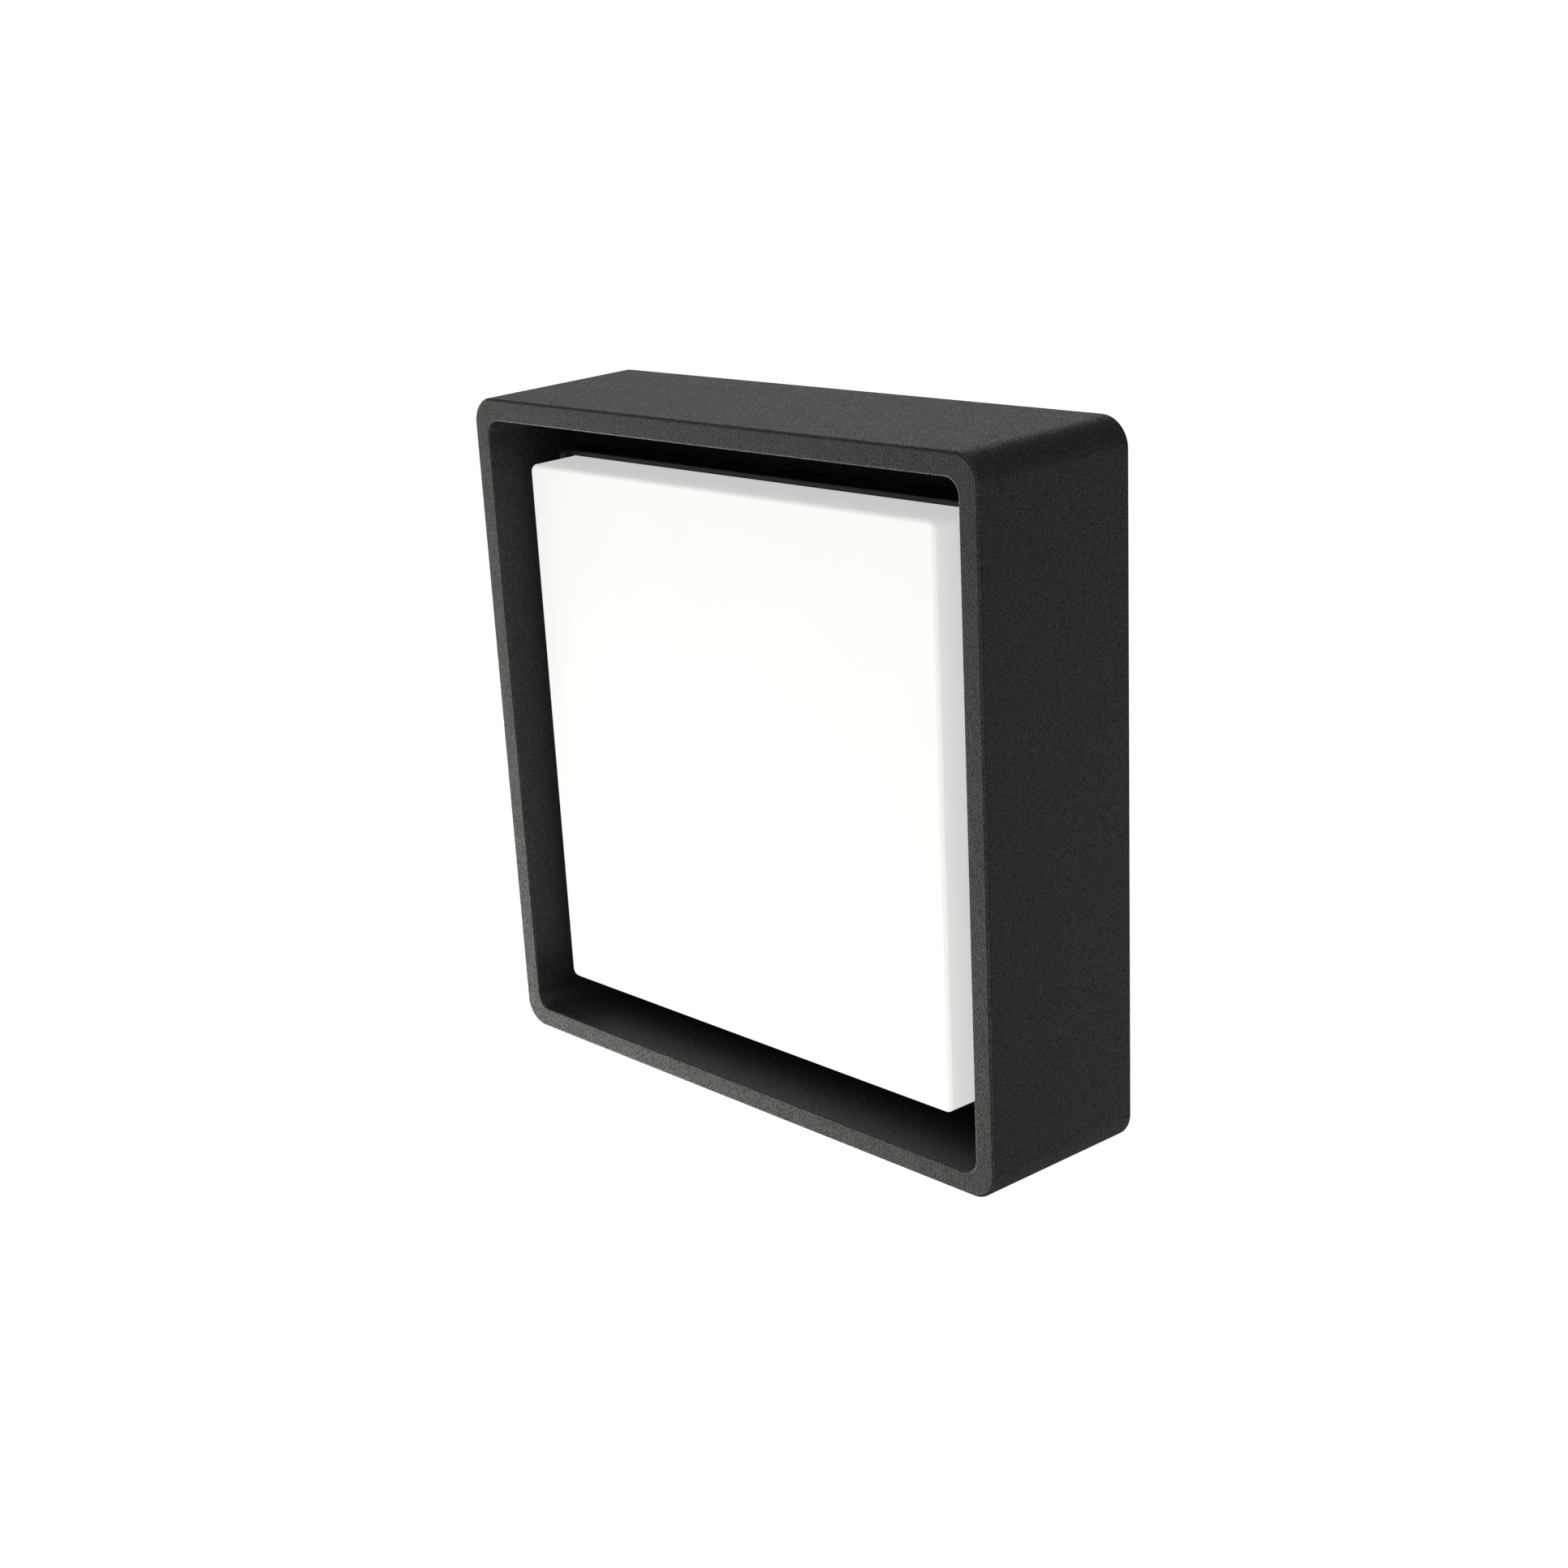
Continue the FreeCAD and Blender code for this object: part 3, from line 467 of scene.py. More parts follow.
FINISHES: dict[str, Finish] = {finish.name: finish for finish in (
    PowderCoat("frame_paint", (0.027, 0.027, 0.0275)),
    PowderCoat("base_paint", (0.026, 0.026, 0.0265), roughness=0.6),
    PowderCoat("tray_paint", (0.012, 0.012, 0.012), grain=0.4 * MM, depth=0.012 * MM,
               roughness=0.5, speckle=0.2),
    Opal("opal_cover", (0.93, 0.93, 0.925)),
    Rubber("seal_rubber", (0.006, 0.006, 0.006)),
    Rubber("gasket_foam", (0.028, 0.028, 0.028), grain=0.8 * MM, depth=0.15 * MM, roughness=0.92),
    PlatedMetal("screw_steel", (0.62, 0.62, 0.60)),
    PlatedMetal("frame_screw_black", (0.035, 0.035, 0.035), roughness=0.38, metal=0.6),
    PlatedMetal("clip_steel", (0.60, 0.60, 0.59), roughness=0.24, stretch=(1.0, 1.0, 14.0)),
    PlatedMetal("contact_brass", (0.72, 0.50, 0.19), roughness=0.28),
    MouldedPlastic("block_plastic", (0.58, 0.58, 0.56)),
    MouldedPlastic("button_green", (0.03, 0.26, 0.07)),
    MouldedPlastic("button_blue", (0.02, 0.07, 0.34)),
    MouldedPlastic("button_grey", (0.05, 0.05, 0.052)),
    MouldedPlastic("connector_plastic", (0.74, 0.74, 0.71)),
    MouldedPlastic("clamp_plastic", (0.012, 0.012, 0.012)),
    MouldedPlastic("lead_brown", (0.10, 0.035, 0.012), roughness=0.35, depth=0.004 * MM),
    MouldedPlastic("lead_blue", (0.01, 0.06, 0.33), roughness=0.35, depth=0.004 * MM),
    MouldedPlastic("lead_green_yellow", (0.62, 0.52, 0.02), roughness=0.35, depth=0.004 * MM,
                   pattern=Pattern.STRIPED, second=(0.02, 0.22, 0.03), pitch=7.0 * MM),
    MouldedPlastic("lead_white", (0.72, 0.72, 0.72), roughness=0.35, depth=0.004 * MM),
    Rubber("pad_grey", (0.20, 0.21, 0.22), roughness=0.7),
    MouldedPlastic("led_board_white", (0.80, 0.80, 0.78), roughness=0.3),
    MouldedPlastic("led_phosphor", (0.80, 0.55, 0.08), roughness=0.25),
    MouldedPlastic("reflector_white", (0.86, 0.86, 0.85), roughness=0.6),
    MouldedPlastic("driver_plastic", (0.66, 0.66, 0.63)),
    MouldedPlastic("board_green", (0.015, 0.11, 0.04), roughness=0.3, pattern=Pattern.TRACED,
                   second=(0.03, 0.20, 0.07), pitch=1.8 * MM),
    MouldedPlastic("winding_copper", (0.50, 0.16, 0.05), roughness=0.3, pattern=Pattern.WOUND,
                   second=(0.16, 0.045, 0.02), pitch=0.6 * MM, depth=0.12 * MM),
    MouldedPlastic("capacitor_sleeve", (0.012, 0.016, 0.03), roughness=0.25),
    MouldedPlastic("choke_ferrite", (0.03, 0.03, 0.028), roughness=0.35),
)}


# ---------------------------------------------------------------------------
# Geometry Nodes trees
# ---------------------------------------------------------------------------

class GeometryTree(Graph):
    """A geometry tree with named inputs, run on a mesh to give a plain mesh."""

    def __init__(self, name: str) -> None:
        """Start an empty tree with a geometry input and a geometry output."""
        super().__init__(bpy.data.node_groups.new(name, "GeometryNodeTree"))
        self.tree.is_modifier = True
        self.identifiers: dict[str, str] = {}
        self._socket("Geometry", "INPUT", "NodeSocketGeometry")
        self._socket("Geometry", "OUTPUT", "NodeSocketGeometry")
        self.inputs: bpy.types.Node | None = None

    def _socket(self, name: str, way: str, kind: str) -> None:
        """Add a socket to the tree's interface."""
        socket = self.tree.interface.new_socket(name=name, in_out=way, socket_type=kind)
        if way == "INPUT":
            self.identifiers[name] = socket.identifier

    def open(self, **kinds: str) -> bpy.types.Node:
        """Add the named inputs.

        Args:
            **kinds: Socket kinds by name, an underscore standing for a space.

        Returns:
            The input node.
        """
        for name, kind in kinds.items():
            self._socket(name.replace("_", " "), "INPUT", f"NodeSocket{kind}")
        self.inputs = self.node("NodeGroupInput")
        return self.inputs

    def close(self, geometry: bpy.types.NodeSocket) -> None:
        """End the tree: realise the instances, set the material and give the geometry out."""
        real = self.node("GeometryNodeRealizeInstances", None, {0: geometry})
        painted = self.node("GeometryNodeSetMaterial", None, {
            "Geometry": real.outputs[0], "Material": self.inputs.outputs["Material"]})
        self.node("NodeGroupOutput", None, {0: painted.outputs[0]})

    def run(self, mesh: bpy.types.Mesh, name: str, **values: Any) -> bpy.types.Mesh:
        """Run the tree on a mesh.

        Args:
            mesh: What goes in.
            name: The name of the mesh that comes out.
            **values: The named inputs, an underscore standing for a space.

        Returns:
            The result as a plain mesh.
        """
        carrier = bpy.data.objects.new(name + "_carrier", mesh)
        bpy.context.scene.collection.objects.link(carrier)
        modifier = carrier.modifiers.new("build", "NODES")
        modifier.node_group = self.tree
        for key, value in values.items():
            modifier[self.identifiers[key.replace("_", " ")]] = value
        result = plain_mesh(carrier, name)
        bpy.data.objects.remove(carrier)
        return result


def plain_mesh(obj: bpy.types.Object, name: str) -> bpy.types.Mesh:
    """The evaluated mesh of an object as a mesh of its own.

    Args:
        obj: The object.
        name: The new mesh's name.

    Returns:
        The mesh.
    """
    bpy.context.view_layer.update()
    graph = bpy.context.evaluated_depsgraph_get()
    mesh = bpy.data.meshes.new_from_object(obj.evaluated_get(graph), depsgraph=graph)
    mesh.name = name
    return mesh


def rounded_square_tree() -> GeometryTree:
    """Tree that turns a profile into a rounded-square shell.

    Each point of the input mesh is one station of the profile: half width, corner radius and
    distance out. The tree sets a ring of points round the square at every station and joins them.

    Returns:
        The tree.
    """
    tree = GeometryTree("rounded_square_shell")
    given = tree.open(Corner_Steps="Int", Material="Material")
    square = tree.node("GeometryNodeCurvePrimitiveQuadrilateral", None,
                       {"Width": 4.0, "Height": 4.0})
    ring = tree.node("GeometryNodeFilletCurve", {"mode": "POLY"}, {
        "Curve": square.outputs[0], "Count": given.outputs["Corner Steps"], "Radius": 1.0})
    ring_size = tree.signal(tree.node("GeometryNodeAttributeDomainSize", {"component": "CURVE"},
                                      {0: ring.outputs[0]}), "Point Count")
    stations = tree.signal(tree.node("GeometryNodeAttributeDomainSize", {"component": "MESH"},
                                     {0: given.outputs["Geometry"]}), "Point Count")
    grid = tree.node("GeometryNodeMeshGrid", None,
                     {"Vertices X": ring_size + 1, "Vertices Y": stations})
    index = tree.signal(tree.node("GeometryNodeInputIndex"))
    here = tree.node("GeometryNodeInputPosition").outputs[0]
    picked = {"data_type": "FLOAT_VECTOR", "domain": "POINT"}
    on_ring = tree.node("GeometryNodeSampleIndex", picked, {
        "Geometry": ring.outputs[0], "Value": here,
        "Index": (index / stations).floor() % ring_size})
    station = tree.node("GeometryNodeSampleIndex", picked, {
        "Geometry": given.outputs["Geometry"], "Value": here, "Index": index % stations})
    low = tree.vector("MAXIMUM", on_ring.outputs[0], (-1.0, -1.0, -1.0))
    corner = tree.vector("MINIMUM", low, (1.0, 1.0, 1.0))
    away = tree.vector("SUBTRACT", on_ring.outputs[0], corner)
    half, radius, out = tree.parts(station.outputs[0])
    straight = tree.vector("MULTIPLY", corner, tree.joined(half - radius, half - radius, 0.0))
    round_part = tree.vector("MULTIPLY", away, tree.joined(radius, radius, 0.0))
    x, z, _ = tree.parts(tree.vector("ADD", straight, round_part))
    placed = tree.node("GeometryNodeSetPosition", None, {
        "Geometry": grid.outputs[0], "Position": tree.joined(x, out * -1.0, z)})
    merged = tree.node("GeometryNodeMergeByDistance", None, {
        "Geometry": placed.outputs[0], "Distance": 0.002 * MM})
    tree.close(merged.outputs[0])
    return tree


def pan_screw_tree() -> GeometryTree:
    """Tree that sets a pan-head screw with a cross recess at every point of the input mesh.

    The recess faces +Z before the screws are turned to face out of the wall or into it.

    Returns:
        The tree.
    """
    tree = GeometryTree("pan_screws")
    given = tree.open(Head_Radius="Float", Head_Height="Float", Shank_Radius="Float",
                      Reach="Float", Turn="Float", Seed="Int", Material="Material")
    head_r = tree.signal(given, "Head Radius")
    head_h = tree.signal(given, "Head Height")
    shank_r = tree.signal(given, "Shank Radius")
    reach = tree.signal(given, "Reach")
    ball = tree.node("GeometryNodeMeshUVSphere", None,
                     {"Segments": HEAD_SIDES, "Rings": HEAD_SIDES // 2, "Radius": 1.0})
    dome = tree.node("GeometryNodeTransform", None, {
        "Geometry": ball.outputs[0], "Scale": tree.joined(head_r, head_r, head_h)})
    skirt = tree.node("GeometryNodeMeshCylinder", None, {
        "Vertices": HEAD_SIDES, "Radius": head_r * 1.2, "Depth": head_h * 2})
    under = tree.node("GeometryNodeTransform", None, {
        "Geometry": skirt.outputs[0], "Translation": tree.joined(0.0, 0.0, head_h * -1.0)})
    arms = []
    for wide, narrow in (RECESS, RECESS[::-1]):
        box = tree.node("GeometryNodeMeshCube", None, {
            "Size": tree.joined(head_r * wide, head_r * narrow, head_h * RECESS_DEPTH)})
        lifted = tree.node("GeometryNodeTransform", None, {
            "Geometry": box.outputs[0], "Translation": tree.joined(0.0, 0.0, head_h)})
        arms.append(lifted.outputs[0])
    head = tree.node("GeometryNodeMeshBoolean", {"operation": "DIFFERENCE"},
                     {"Mesh 1": dome.outputs[0]})
    for cutter in (under.outputs[0], *arms):
        tree.tree.links.new(cutter, head.inputs["Mesh 2"])
    shank = tree.node("GeometryNodeMeshCylinder", None,
                      {"Vertices": SHANK_SIDES, "Radius": shank_r, "Depth": reach})
    sunk = tree.node("GeometryNodeTransform", None, {
        "Geometry": shank.outputs[0], "Translation": tree.joined(0.0, 0.0, reach * -0.5)})
    whole = tree.node("GeometryNodeJoinGeometry")
    for part in (head.outputs[0], sunk.outputs[0]):
        tree.tree.links.new(part, whole.inputs[0])
    spin = tree.node("FunctionNodeRandomValue", {"data_type": "FLOAT"}, {
        "Min": 0.0, "Max": math.tau, "Seed": given.outputs["Seed"]})
    spun = tree.node("FunctionNodeEulerToRotation", None, {
        0: tree.joined(0.0, 0.0, tree.signal(spin, 1))})
    faced = tree.node("FunctionNodeEulerToRotation", None, {
        0: tree.joined(tree.signal(given, "Turn"), 0.0, 0.0)})
    turn = tree.node("FunctionNodeRotateRotation", {"rotation_space": "LOCAL"}, {
        0: faced.outputs[0], 1: spun.outputs[0]})
    points = tree.node("GeometryNodeMeshToPoints", None, {0: given.outputs["Geometry"]})
    placed = tree.node("GeometryNodeInstanceOnPoints", None, {
        "Points": points.outputs[0], "Instance": whole.outputs[0], "Rotation": turn.outputs[0]})
    tree.close(placed.outputs[0])
    return tree


# ---------------------------------------------------------------------------
# Mesh helpers
# ---------------------------------------------------------------------------

def point_mesh(points: Iterable[Sequence[float]], name: str) -> bpy.types.Mesh:
    """A mesh of loose points.

    Args:
        points: The points.
        name: The mesh's name.

    Returns:
        The mesh.
    """
    mesh = bpy.data.meshes.new(name)
    mesh.from_pydata([tuple(p) for p in points], [], [])
    return mesh


def tidy_faces(mesh: bpy.types.Mesh, flat: bool = False) -> None:
    """Merge doubles, turn the faces outwards or join coplanar faces, and mark the sharp edges.

    Args:
        mesh: The mesh to tidy.
        flat: Whether to join coplanar triangles into larger faces instead of turning the faces
            outwards.
    """
    work = bmesh.new()
    work.from_mesh(mesh)
    bmesh.ops.remove_doubles(work, verts=work.verts, dist=WELD)
    if flat:
        bmesh.ops.dissolve_limit(work, angle_limit=FLAT_ANGLE, verts=work.verts,
                                 edges=work.edges)
    else:
        bmesh.ops.recalc_face_normals(work, faces=work.faces)
    for face in work.faces:
        face.smooth = True
    work.to_mesh(mesh)
    work.free()
    mesh.set_sharp_from_angle(angle=SHARP_ANGLE)


def even_normals(obj: bpy.types.Object, bevel: float = 0.0) -> None:
    """Soften an object's sharp edges, and weight its normals by face so that flats stay flat.

    Args:
        obj: The object.
        bevel: Width of the softened edges, or 0 to leave them sharp.
    """
    if bevel:
        edge = obj.modifiers.new("edge", "BEVEL")
        edge.width = bevel
        edge.segments = 2
        edge.limit_method = "ANGLE"
        edge.angle_limit = SHARP_ANGLE
        edge.use_clamp_overlap = True
        edge.harden_normals = False
    weight = obj.modifiers.new("weight", "WEIGHTED_NORMAL")
    weight.mode = "FACE_AREA"
    weight.weight = 100
    weight.keep_sharp = not bevel
    mesh = plain_mesh(obj, obj.name)
    obj.modifiers.clear()
    obj.data = mesh


def stand(mesh: bpy.types.Mesh, name: str, finish: str, body: str,
          nodes: Sequence[str]) -> bpy.types.Object:
    """Put a finished mesh in the scene in place of CAD nodes.

    Args:
        mesh: The mesh, already in its place.
        name: The piece's name.
        finish: The name of its finish, which is its material slot too.
        body: The CAD body that it rides on.
        nodes: The CAD nodes that it stands for.

    Returns:
        The new object.
    """
    mesh.materials.clear()
    mesh.materials.append(FINISHES[finish].material())
    obj = bpy.data.objects.new(name, mesh)
    bpy.context.scene.collection.objects.link(obj)
    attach(obj, body)
    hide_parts(*nodes)
    LOG.info("%s: %d faces on %s", name, len(mesh.polygons), body)
    return obj


def islands(node: str) -> list[tuple[Vector, Vector]]:
    """The lowest and highest corner of each separate solid in a CAD node.

    Args:
        node: The node's name.

    Returns:
        One pair of corners for each solid.
    """
    work = bmesh.new()
    work.from_mesh(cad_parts[node].data)
    bmesh.ops.remove_doubles(work, verts=work.verts, dist=WELD)
    seen: set[bmesh.types.BMVert] = set()
    boxes = []
    for start in work.verts:
        if start in seen:
            continue
        group = [start]
        seen.add(start)
        for vert in group:
            for edge in vert.link_edges:
                other = edge.other_vert(vert)
                if other not in seen:
                    seen.add(other)
                    group.append(other)
        low = Vector([min(v.co[axis] for v in group) for axis in range(3)])
        high = Vector([max(v.co[axis] for v in group) for axis in range(3)])
        boxes.append((low, high))
    work.free()
    return boxes


def fillet(half: float, out: float, radius: float, corner: float, start: float, turn: float,
           steps: int = 6) -> list[Station]:
    """Stations round an edge of a profile.

    Args:
        half: Half width of the arc's centre.
        out: Distance out of the arc's centre.
        radius: Radius of the arc.
        corner: Corner radius of the outline at the arc's centre.
        start: Angle of the first station, 0 being sideways and a quarter turn being outwards.
        turn: Angle to the last station.
        steps: Number of steps.

    Returns:
        The stations in order; the outline's corner radius grows with the half width.
    """
    stations = []
    for step in range(steps + 1):
        angle = start + turn * step / steps
        side = radius * math.cos(angle)
        stations.append((half + side, max(corner + side, 0.0), out + radius * math.sin(angle)))
    return stations


# ---------------------------------------------------------------------------
# Sub-assemblies
# ---------------------------------------------------------------------------

@dataclass
class Trees:
    """The geometry trees that the sub-assemblies share."""

    shell: GeometryTree = field(default_factory=rounded_square_tree)
    screws: GeometryTree = field(default_factory=pan_screw_tree)

    def lofted(self, profile: Sequence[Station], name: str, finish: str,
               steps: int = CORNER_STEPS) -> bpy.types.Mesh:
        """A rounded-square shell from its profile, with even normals.

        Args:
            profile: The stations in order.
            name: The mesh's name.
            finish: The name of its finish.
            steps: Points in each rounded corner.

        Returns:
            The shell.
        """
        mesh = self.shell.run(point_mesh(profile, name), name, Corner_Steps=steps,
                              Material=FINISHES[finish].material())
        tidy_faces(mesh)
        carrier = bpy.data.objects.new(name + "_carrier", mesh)
        bpy.context.scene.collection.objects.link(carrier)
        even_normals(carrier)
        result = carrier.data
        bpy.data.objects.remove(carrier)
        return result


@dataclass
class Screws:
    """A group of identical pan-head screws that stands for one CAD node."""

    trees: Trees
    node: str
    body: str
    finish: str = "screw_steel"
    facing: int = 1
    head_share: float = 0.7

    def build(self) -> bpy.types.Object:
        """Set a screw on every solid of the CAD node.

        Returns:
            The group as one piece.
        """
        boxes = islands(self.node)
        low, high = boxes[0]
        size = (high.x - low.x) / 2
        height = self.head_share * size
        seats = []
        for low, high in boxes:
            seat = low.y + height if self.facing > 0 else high.y - height
            seats.append(((low.x + high.x) / 2, seat, (low.z + high.z) / 2))
        mesh = self.trees.screws.run(
            point_mesh(seats, self.node), self.node + "_set", Head_Radius=size, Head_Height=height,
            Shank_Radius=size / 2, Reach=(high.y - low.y) - height, Seed=SEED,
            Turn=QUARTER * self.facing, Material=FINISHES[self.finish].material())
        tidy_faces(mesh)
        return stand(mesh, self.node + "_set", self.finish, self.body, [self.node])


@dataclass
class CadPieces:
    """CAD nodes whose shape is right, with merged faces, softened edges and their finish."""

    body: str
    nodes: dict[str, str]
    bevel: float = 0.15 * MM

    def build(self) -> None:
        """Make a softened copy of each node."""
        for node, finish in self.nodes.items():
            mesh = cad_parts[node].data.copy()
            mesh.name = node + "_soft"
            tidy_faces(mesh, flat=True)
            obj = stand(mesh, node + "_soft", finish, self.body, [node])
            even_normals(obj, self.bevel)


@dataclass
class WallBase:
    """The cast frame, the base behind it and what the base carries."""

    trees: Trees
    body: str = "wall_base"
    rim_half: float = 115.0 * MM
    rim_radius: float = 5.6 * MM
    rim_draft: float = 0.9 * MM
    front_half: float = 123.0 * MM
    front_radius: float = 9.5 * MM
    back_radius: float = 10.4 * MM
    outer_round: float = 1.1 * MM
    inner_round: float = 0.6 * MM
    back_round: float = 0.8 * MM
    flange_out: tuple[float, float] = (26.0 * MM, 29.0 * MM)
    flange_half: float = 96.5 * MM
    skin: float = 3.5 * MM
    gasket_width: float = 4.0 * MM
    gasket_radius: float = 7.0 * MM
    fixed: dict[str, str] = field(default_factory=lambda: {
        "base_housing": "base_paint", "wall_screw_seals": "seal_rubber",
        "cable_grommet": "seal_rubber", "blanking_plug": "seal_rubber",
        "cord_clamp": "clamp_plastic", "terminal_block": "block_plastic",
        "terminal_clamps": "contact_brass", "earth_tag": "contact_brass",
        "socket_connector": "connector_plastic", "socket_contacts": "contact_brass"})
    leads: dict[str, str] = field(default_factory=lambda: {
        "earth_bond_lead": "lead_green_yellow", "live_lead": "lead_brown",
        "neutral_lead": "lead_blue", "earth_lead": "lead_green_yellow"})

    def build(self) -> None:
        """Build the frame, the gasket, the screws and the pieces of the base."""
        self.outer_frame()
        self.gasket()
        Screws(self.trees, "frame_screws", self.body, "frame_screw_black").build()
        for node in ("cord_clamp_screws", "terminal_block_screws", "socket_screws", "earth_screw"):
            Screws(self.trees, node, self.body).build()
        CadPieces(self.body, self.fixed).build()
        CadPieces(self.body, self.leads, bevel=0.0).build()

    def outer_frame(self) -> bpy.types.Object:
        """The drafted frame: outer wall, rounded rim, inner wall, flange and skin.

        Returns:
            The frame.
        """
        low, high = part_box("outer_frame")
        depth = -low.y
        back_half = high.x
        lean = math.atan2(back_half - self.front_half, depth)
        inner_lean = math.atan2(self.rim_draft, depth - self.flange_out[1])
        outer, inner, soft = self.outer_round, self.inner_round, self.back_round
        skin_half = back_half - self.skin
        outer_half = self.front_half - outer + outer * math.tan(lean / 2)
        inner_half = self.rim_half + inner - inner * math.tan(inner_lean / 2)
        profile = fillet(back_half - soft, soft, soft, self.back_radius - soft, -QUARTER,
                         QUARTER + lean, 4)
        profile += fillet(outer_half, depth - outer, outer, self.front_radius - outer, lean,
                          QUARTER - lean)
        profile += fillet(inner_half, depth - inner, -inner, self.rim_radius + inner, -QUARTER,
                          QUARTER - inner_lean)
        profile += [
            (self.rim_half + self.rim_draft, self.rim_radius, self.flange_out[1]),
            (self.flange_half, self.rim_radius, self.flange_out[1]),
            (self.flange_half, self.rim_radius, self.flange_out[0]),
            (skin_half, self.back_radius - self.skin, self.flange_out[0]),
            (skin_half, self.back_radius - self.skin, 0.0), profile[0]]
        mesh = self.trees.lofted(profile, "cast_frame", "frame_paint", 16)
        return stand(mesh, "cast_frame", "frame_paint", self.body, ["outer_frame"])

    def gasket(self) -> bpy.types.Object:
        """The foam gasket in the back plate's groove.

        Returns:
            The gasket.
        """
        low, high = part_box("wall_gasket")
        width, depth, radius = self.gasket_width, -low.y, self.gasket_radius
        inside, inside_radius = high.x - width, radius - width
        profile = [(high.x, radius, 0.0), (high.x, radius, depth),
                   (inside, inside_radius, depth), (inside, inside_radius, 0.0),
                   (high.x, radius, 0.0)]
        mesh = self.trees.lofted(profile, "foam_gasket", "gasket_foam")
        return stand(mesh, "foam_gasket", "gasket_foam", self.body, ["wall_gasket"])


@dataclass
class LightUnit:
    """The tray with the opal cover in front, the LED board inside and the driver behind."""

    trees: Trees
    body: str = "light_unit"
    cover_radius: float = 3.0 * MM
    cover_wall: float = 2.5 * MM
    cover_round: float = 1.4 * MM
    cover_half: float = 99.65 * MM
    cover_back_half: float = 100.07 * MM
    flange_out: tuple[float, float] = (40.6 * MM, 43.0 * MM)
    seal_out: float = 44.2 * MM
    seal_radius: float = 1.65 * MM
    seal_gap: float = 0.02 * MM
    seal_deep_half: float = 98.2 * MM
    ring_width: float = 3.6 * MM
    ring_radius: float = 9.0 * MM
    fixed: dict[str, str] = field(default_factory=lambda: {
        "light_tray": "tray_paint", "thermal_pad": "pad_grey", "led_board": "led_board_white",
        "led_connector": "connector_plastic", "reflector_sheet": "reflector_white",
        "driver_case": "driver_plastic", "driver_lid": "driver_plastic",
        "driver_board": "board_green",
        "driver_transformer": "winding_copper", "driver_capacitors": "capacitor_sleeve",
        "driver_choke": "choke_ferrite", "plug_connector": "connector_plastic",
        "plug_pins": "contact_brass",
        "tray_earth_tag": "contact_brass", "lead_grommet": "seal_rubber"})
    sharp: dict[str, str] = field(default_factory=lambda: {
        "led_chips": "led_phosphor", "spring_clips": "clip_steel", "driver_live_lead": "lead_brown",
        "driver_neutral_lead": "lead_blue", "tray_earth_lead": "lead_green_yellow",
        "led_leads": "lead_white"})

    def build(self) -> None:
        """Build the cover, the seals, the screws and the pieces of the unit."""
        self.cover()
        self.cover_seal()
        self.back_seal()
        Screws(self.trees, "led_board_screws", self.body).build()
        for node in ("diffuser_screws", "driver_screws", "plug_screws", "clip_screws",
                     "tray_earth_screw"):
            Screws(self.trees, node, self.body, facing=-1).build()
        CadPieces(self.body, self.fixed).build()
        CadPieces(self.body, self.sharp, bevel=0.0).build()

    def cover(self) -> bpy.types.Object:
        """The opal cover: a thin drafted box with soft edges and a flange at its back.

        Returns:
            The cover.
        """
        low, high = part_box("diffuser")
        front, radius, wall, soft = -low.y, self.cover_radius, self.cover_wall, self.cover_round
        back, flange_front = self.flange_out
        lean = math.atan2(self.cover_back_half - self.cover_half, front - back)
        inner_half = self.cover_half - wall
        inner_radius = radius / 2
        profile = [(0.0, 0.0, front), (0.5 * self.cover_half, radius, front)]
        profile += reversed(fillet(self.cover_half - soft, front - soft, soft, radius - soft, lean,
                                   QUARTER - lean, 8))
        profile += [
            (self.cover_back_half, radius, flange_front), (high.x, radius, flange_front),
            (high.x, radius, back), (inner_half, inner_radius, back),
            (inner_half, inner_radius, front - wall), (0.0, 0.0, front - wall)]
        mesh = self.trees.lofted(profile, "opal_cover", "opal_cover")
        cover = stand(mesh, "opal_cover", "opal_cover", self.body, ["diffuser"])
        # The cover's painted glow and the light it reflects reach no other surface as diffuse
        # light, so the recess stays dark.
        cover.visible_diffuse = False
        return cover

    def cover_seal(self) -> bpy.types.Object:
        """The black seal that wraps the cover's flange.

        Returns:
            The seal.
        """
        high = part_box("diffuser_seal")[1]
        back, half, radius = -high.y, high.x, self.seal_radius
        inside = self.cover_back_half + self.seal_gap
        deep = self.seal_deep_half
        flange_back, flange_front = self.flange_out
        flange_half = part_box("diffuser")[1].x
        outline = [(half, back), (half, self.seal_out), (inside, self.seal_out),
                   (inside, flange_front), (flange_half, flange_front),
                   (flange_half, flange_back), (deep, flange_back), (deep, back), (half, back)]
        profile = [(across, radius, out) for across, out in outline]
        mesh = self.trees.lofted(profile, "cover_seal", "seal_rubber", 8)
        return stand(mesh, "cover_seal", "seal_rubber", self.body, ["diffuser_seal"])

    def back_seal(self) -> bpy.types.Object:
        """The rubber ring that meets the chamber wall.

        Returns:
            The ring.
        """
        low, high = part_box("tray_seal")
        width, radius = self.ring_width, self.ring_radius
        back, front, half = -high.y, -low.y, high.x
        middle = width / 2
        crown = fillet(half - middle, back + middle, middle, radius - middle, 0.0, -math.pi, 8)
        profile = [(half, radius, front), *crown, (half - width, radius - width, front),
                   (half, radius, front)]
        mesh = self.trees.lofted(profile, "back_seal", "seal_rubber", 8)
        return stand(mesh, "back_seal", "seal_rubber", self.body, ["tray_seal"])


@dataclass
class ReleaseButtons:
    """The three push buttons of the terminal block."""

    finishes: dict[str, str] = field(default_factory=lambda: {
        "earth": "button_green", "neutral": "button_blue", "live": "button_grey"})

    def build(self) -> None:
        """Dress each button on its own body."""
        for pole, finish in self.finishes.items():
            CadPieces(f"{pole}_release", {f"{pole}_button": finish}).build()


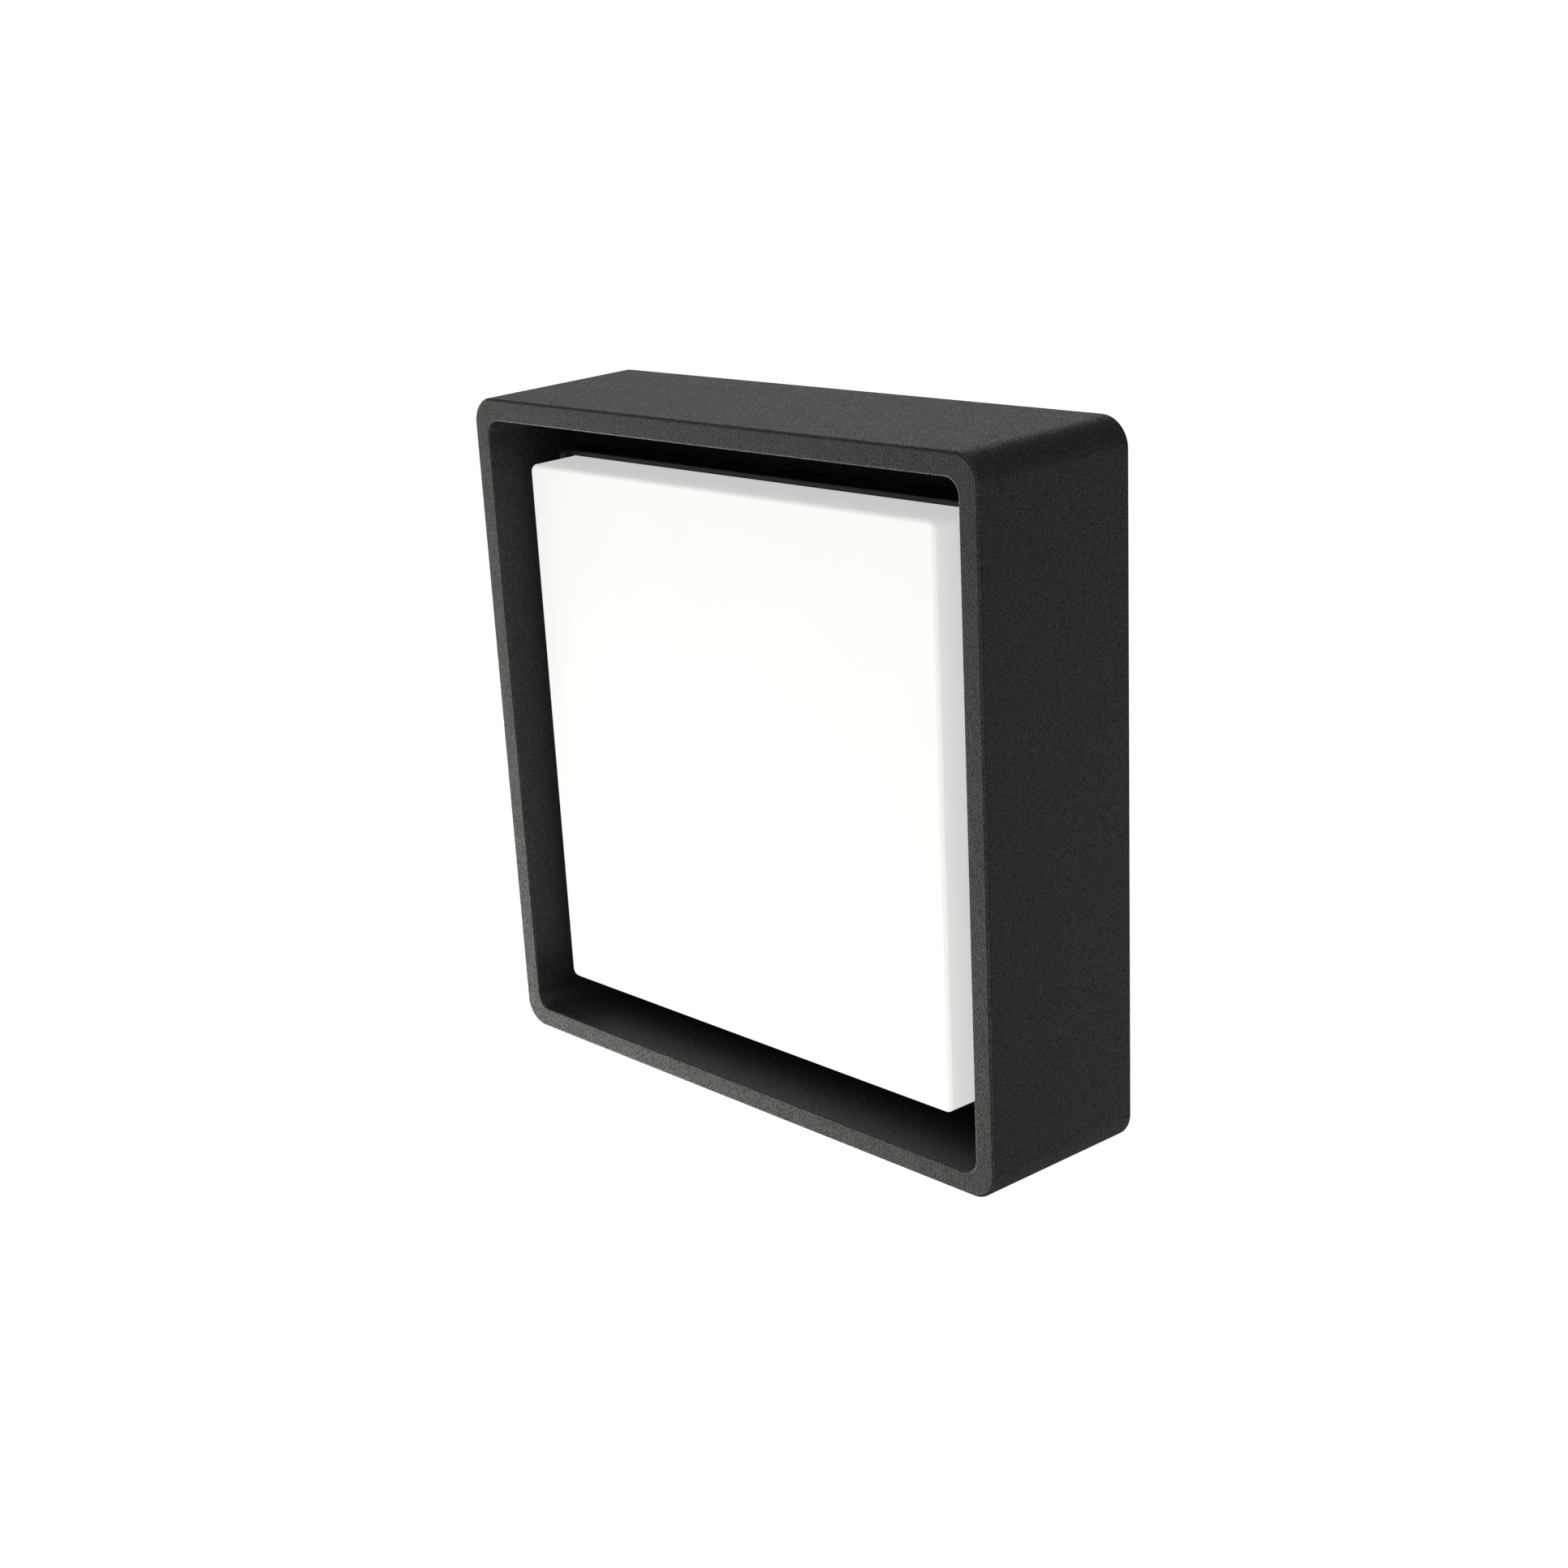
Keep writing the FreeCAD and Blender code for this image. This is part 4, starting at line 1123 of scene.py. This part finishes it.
# ---------------------------------------------------------------------------
# Studio
# ---------------------------------------------------------------------------

@dataclass(frozen=True)
class Softbox:
    """A softbox that looks at the lantern from a few metres away, unseen by the camera.

    Azimuth 0 is in front of the wall and 90 on the right, in degrees; sizes are in metres.
    """

    name: str
    azimuth: float
    elevation: float
    size: tuple[float, float]
    brightness: float
    colour: Colour = (1.0, 1.0, 1.0)
    distance: float = 3.0

    def build(self) -> None:
        """Add the light."""
        width, height = self.size
        light = bpy.data.lights.new(self.name, "AREA")
        light.shape = "RECTANGLE"
        light.size = width
        light.size_y = height
        light.energy = self.brightness * math.pi * width * height
        light.color = self.colour
        obj = bpy.data.objects.new(self.name, light)
        away = heading(self.azimuth, self.elevation)
        obj.location = away * self.distance
        obj.rotation_euler = away.to_track_quat("Z", "Y").to_euler()
        obj.visible_camera = False
        bpy.context.scene.collection.objects.link(obj)


def heading(azimuth: float, elevation: float) -> Vector:
    """Unit vector from the lantern in a given direction.

    Args:
        azimuth: Degrees from the front, 90 being on the right.
        elevation: Degrees above the middle.

    Returns:
        The vector.
    """
    turn, rise = math.radians(azimuth), math.radians(elevation)
    level = math.cos(rise)
    return Vector((math.sin(turn) * level, -math.cos(turn) * level, math.sin(rise)))


WARM = (1.0, 0.945, 0.87)
COOL = (0.97, 0.98, 1.0)


@dataclass
class Studio:
    """Plain pale floor, soft light and the camera."""

    floor_drop: float = 1.6
    floor_half: float = 40.0
    surround: float = 0.1
    backdrop: float = 1.05
    azimuth: float = 45.793
    elevation: float = 18.789
    roll: float = -2.603
    stand_point: tuple[float, float, float] = (0.5885, -0.5866, 0.2379)
    lens: float = 54.26
    sensor: float = 36.0
    shift: tuple[float, float] = (-0.0339, 0.0431)
    softboxes: tuple[Softbox, ...] = (
        Softbox("left_tall_box", 270, -15, (1.6, 3.2), 8.6, WARM),
        Softbox("left_low_box", 300, -30, (1.6, 1.6), 3.1, WARM),
        Softbox("right_front_box", 45, 0, (2.4, 1.6), 0.3),
        Softbox("right_front_low_box", 45, -30, (2.4, 1.6), 1.8, WARM),
        Softbox("right_low_box", 90, -60, (2.0, 1.6), 0.5),
        Softbox("top_box", 0, 75, (2.6, 2.6), 0.9, COOL),
        Softbox("back_top_box", 226, 30, (2.0, 1.2), 1.0),
        Softbox("back_box", 180, -20, (2.4, 2.0), 1.6),
    )

    def build(self) -> None:
        """Build the floor, the light and the camera."""
        self.floor()
        self.world()
        for box in self.softboxes:
            box.build()
        self.camera()
        bpy.context.scene.view_settings.view_transform = "Standard"

    def floor(self) -> None:
        """Lay a pale floor, well below the lantern, that glows white and lights nothing."""
        half, drop = self.floor_half, -self.floor_drop
        mesh = bpy.data.meshes.new("floor")
        corners = [(-half, -half, drop), (half, -half, drop), (half, half, drop),
                   (-half, half, drop)]
        mesh.from_pydata(corners, [], [(0, 1, 2, 3)])
        material = bpy.data.materials.new("floor_paper")
        graph = ShaderGraph(material)
        paper = graph.noise(0.5, 2.0)
        graph.feed(Base_Color=graph.blend(paper, (0.9, 0.9, 0.9), (0.94, 0.94, 0.94)),
                   Roughness=0.9,
                   Emission_Color=(1.0, 1.0, 1.0, 1.0), Emission_Strength=1.0)
        mesh.materials.append(material)
        obj = bpy.data.objects.new("floor", mesh)
        obj.visible_diffuse = False
        obj.visible_glossy = False
        obj.visible_shadow = False
        bpy.context.scene.collection.objects.link(obj)

    def world(self) -> None:
        """Set a white surround that gives only a little light."""
        world = bpy.data.worlds.new("surround")
        world.use_nodes = True
        bpy.context.scene.world = world
        world.node_tree.nodes.clear()
        graph = Graph(world.node_tree)
        seen = graph.node("ShaderNodeLightPath").outputs["Is Camera Ray"]
        level = graph.node("ShaderNodeMix", {"data_type": "FLOAT"},
                           {0: seen, 2: self.surround, 3: self.backdrop})
        shader = graph.node("ShaderNodeBackground", None, {
            "Color": (1.0, 1.0, 1.0, 1.0), "Strength": level.outputs[0]})
        graph.node("ShaderNodeOutputWorld", None, {"Surface": shader.outputs[0]})

    def camera(self) -> None:
        """Add the camera."""
        turn, lean = math.radians(self.azimuth), math.radians(self.roll)
        back = heading(self.azimuth, self.elevation)
        right = Vector((math.cos(turn), math.sin(turn), 0.0))
        up = back.cross(right)
        across = right * math.cos(lean) + up * math.sin(lean)
        upward = up * math.cos(lean) - right * math.sin(lean)
        data = bpy.data.cameras.new("camera")
        data.lens = self.lens
        data.sensor_width = self.sensor
        data.shift_x, data.shift_y = self.shift
        data.clip_start = 0.01
        data.clip_end = 200.0
        obj = bpy.data.objects.new("camera", data)
        facing = Matrix((across, upward, back)).transposed().to_4x4()
        obj.matrix_world = Matrix.Translation(self.stand_point) @ facing
        bpy.context.scene.collection.objects.link(obj)
        bpy.context.scene.camera = obj


def main() -> None:
    """Build the lantern and the studio."""
    logging.basicConfig(level=logging.INFO, format="%(name)s %(message)s")
    trees = Trees()
    Studio().build()
    WallBase(trees).build()
    LightUnit(trees).build()
    ReleaseButtons().build()


if __name__ == "__main__":
    main()
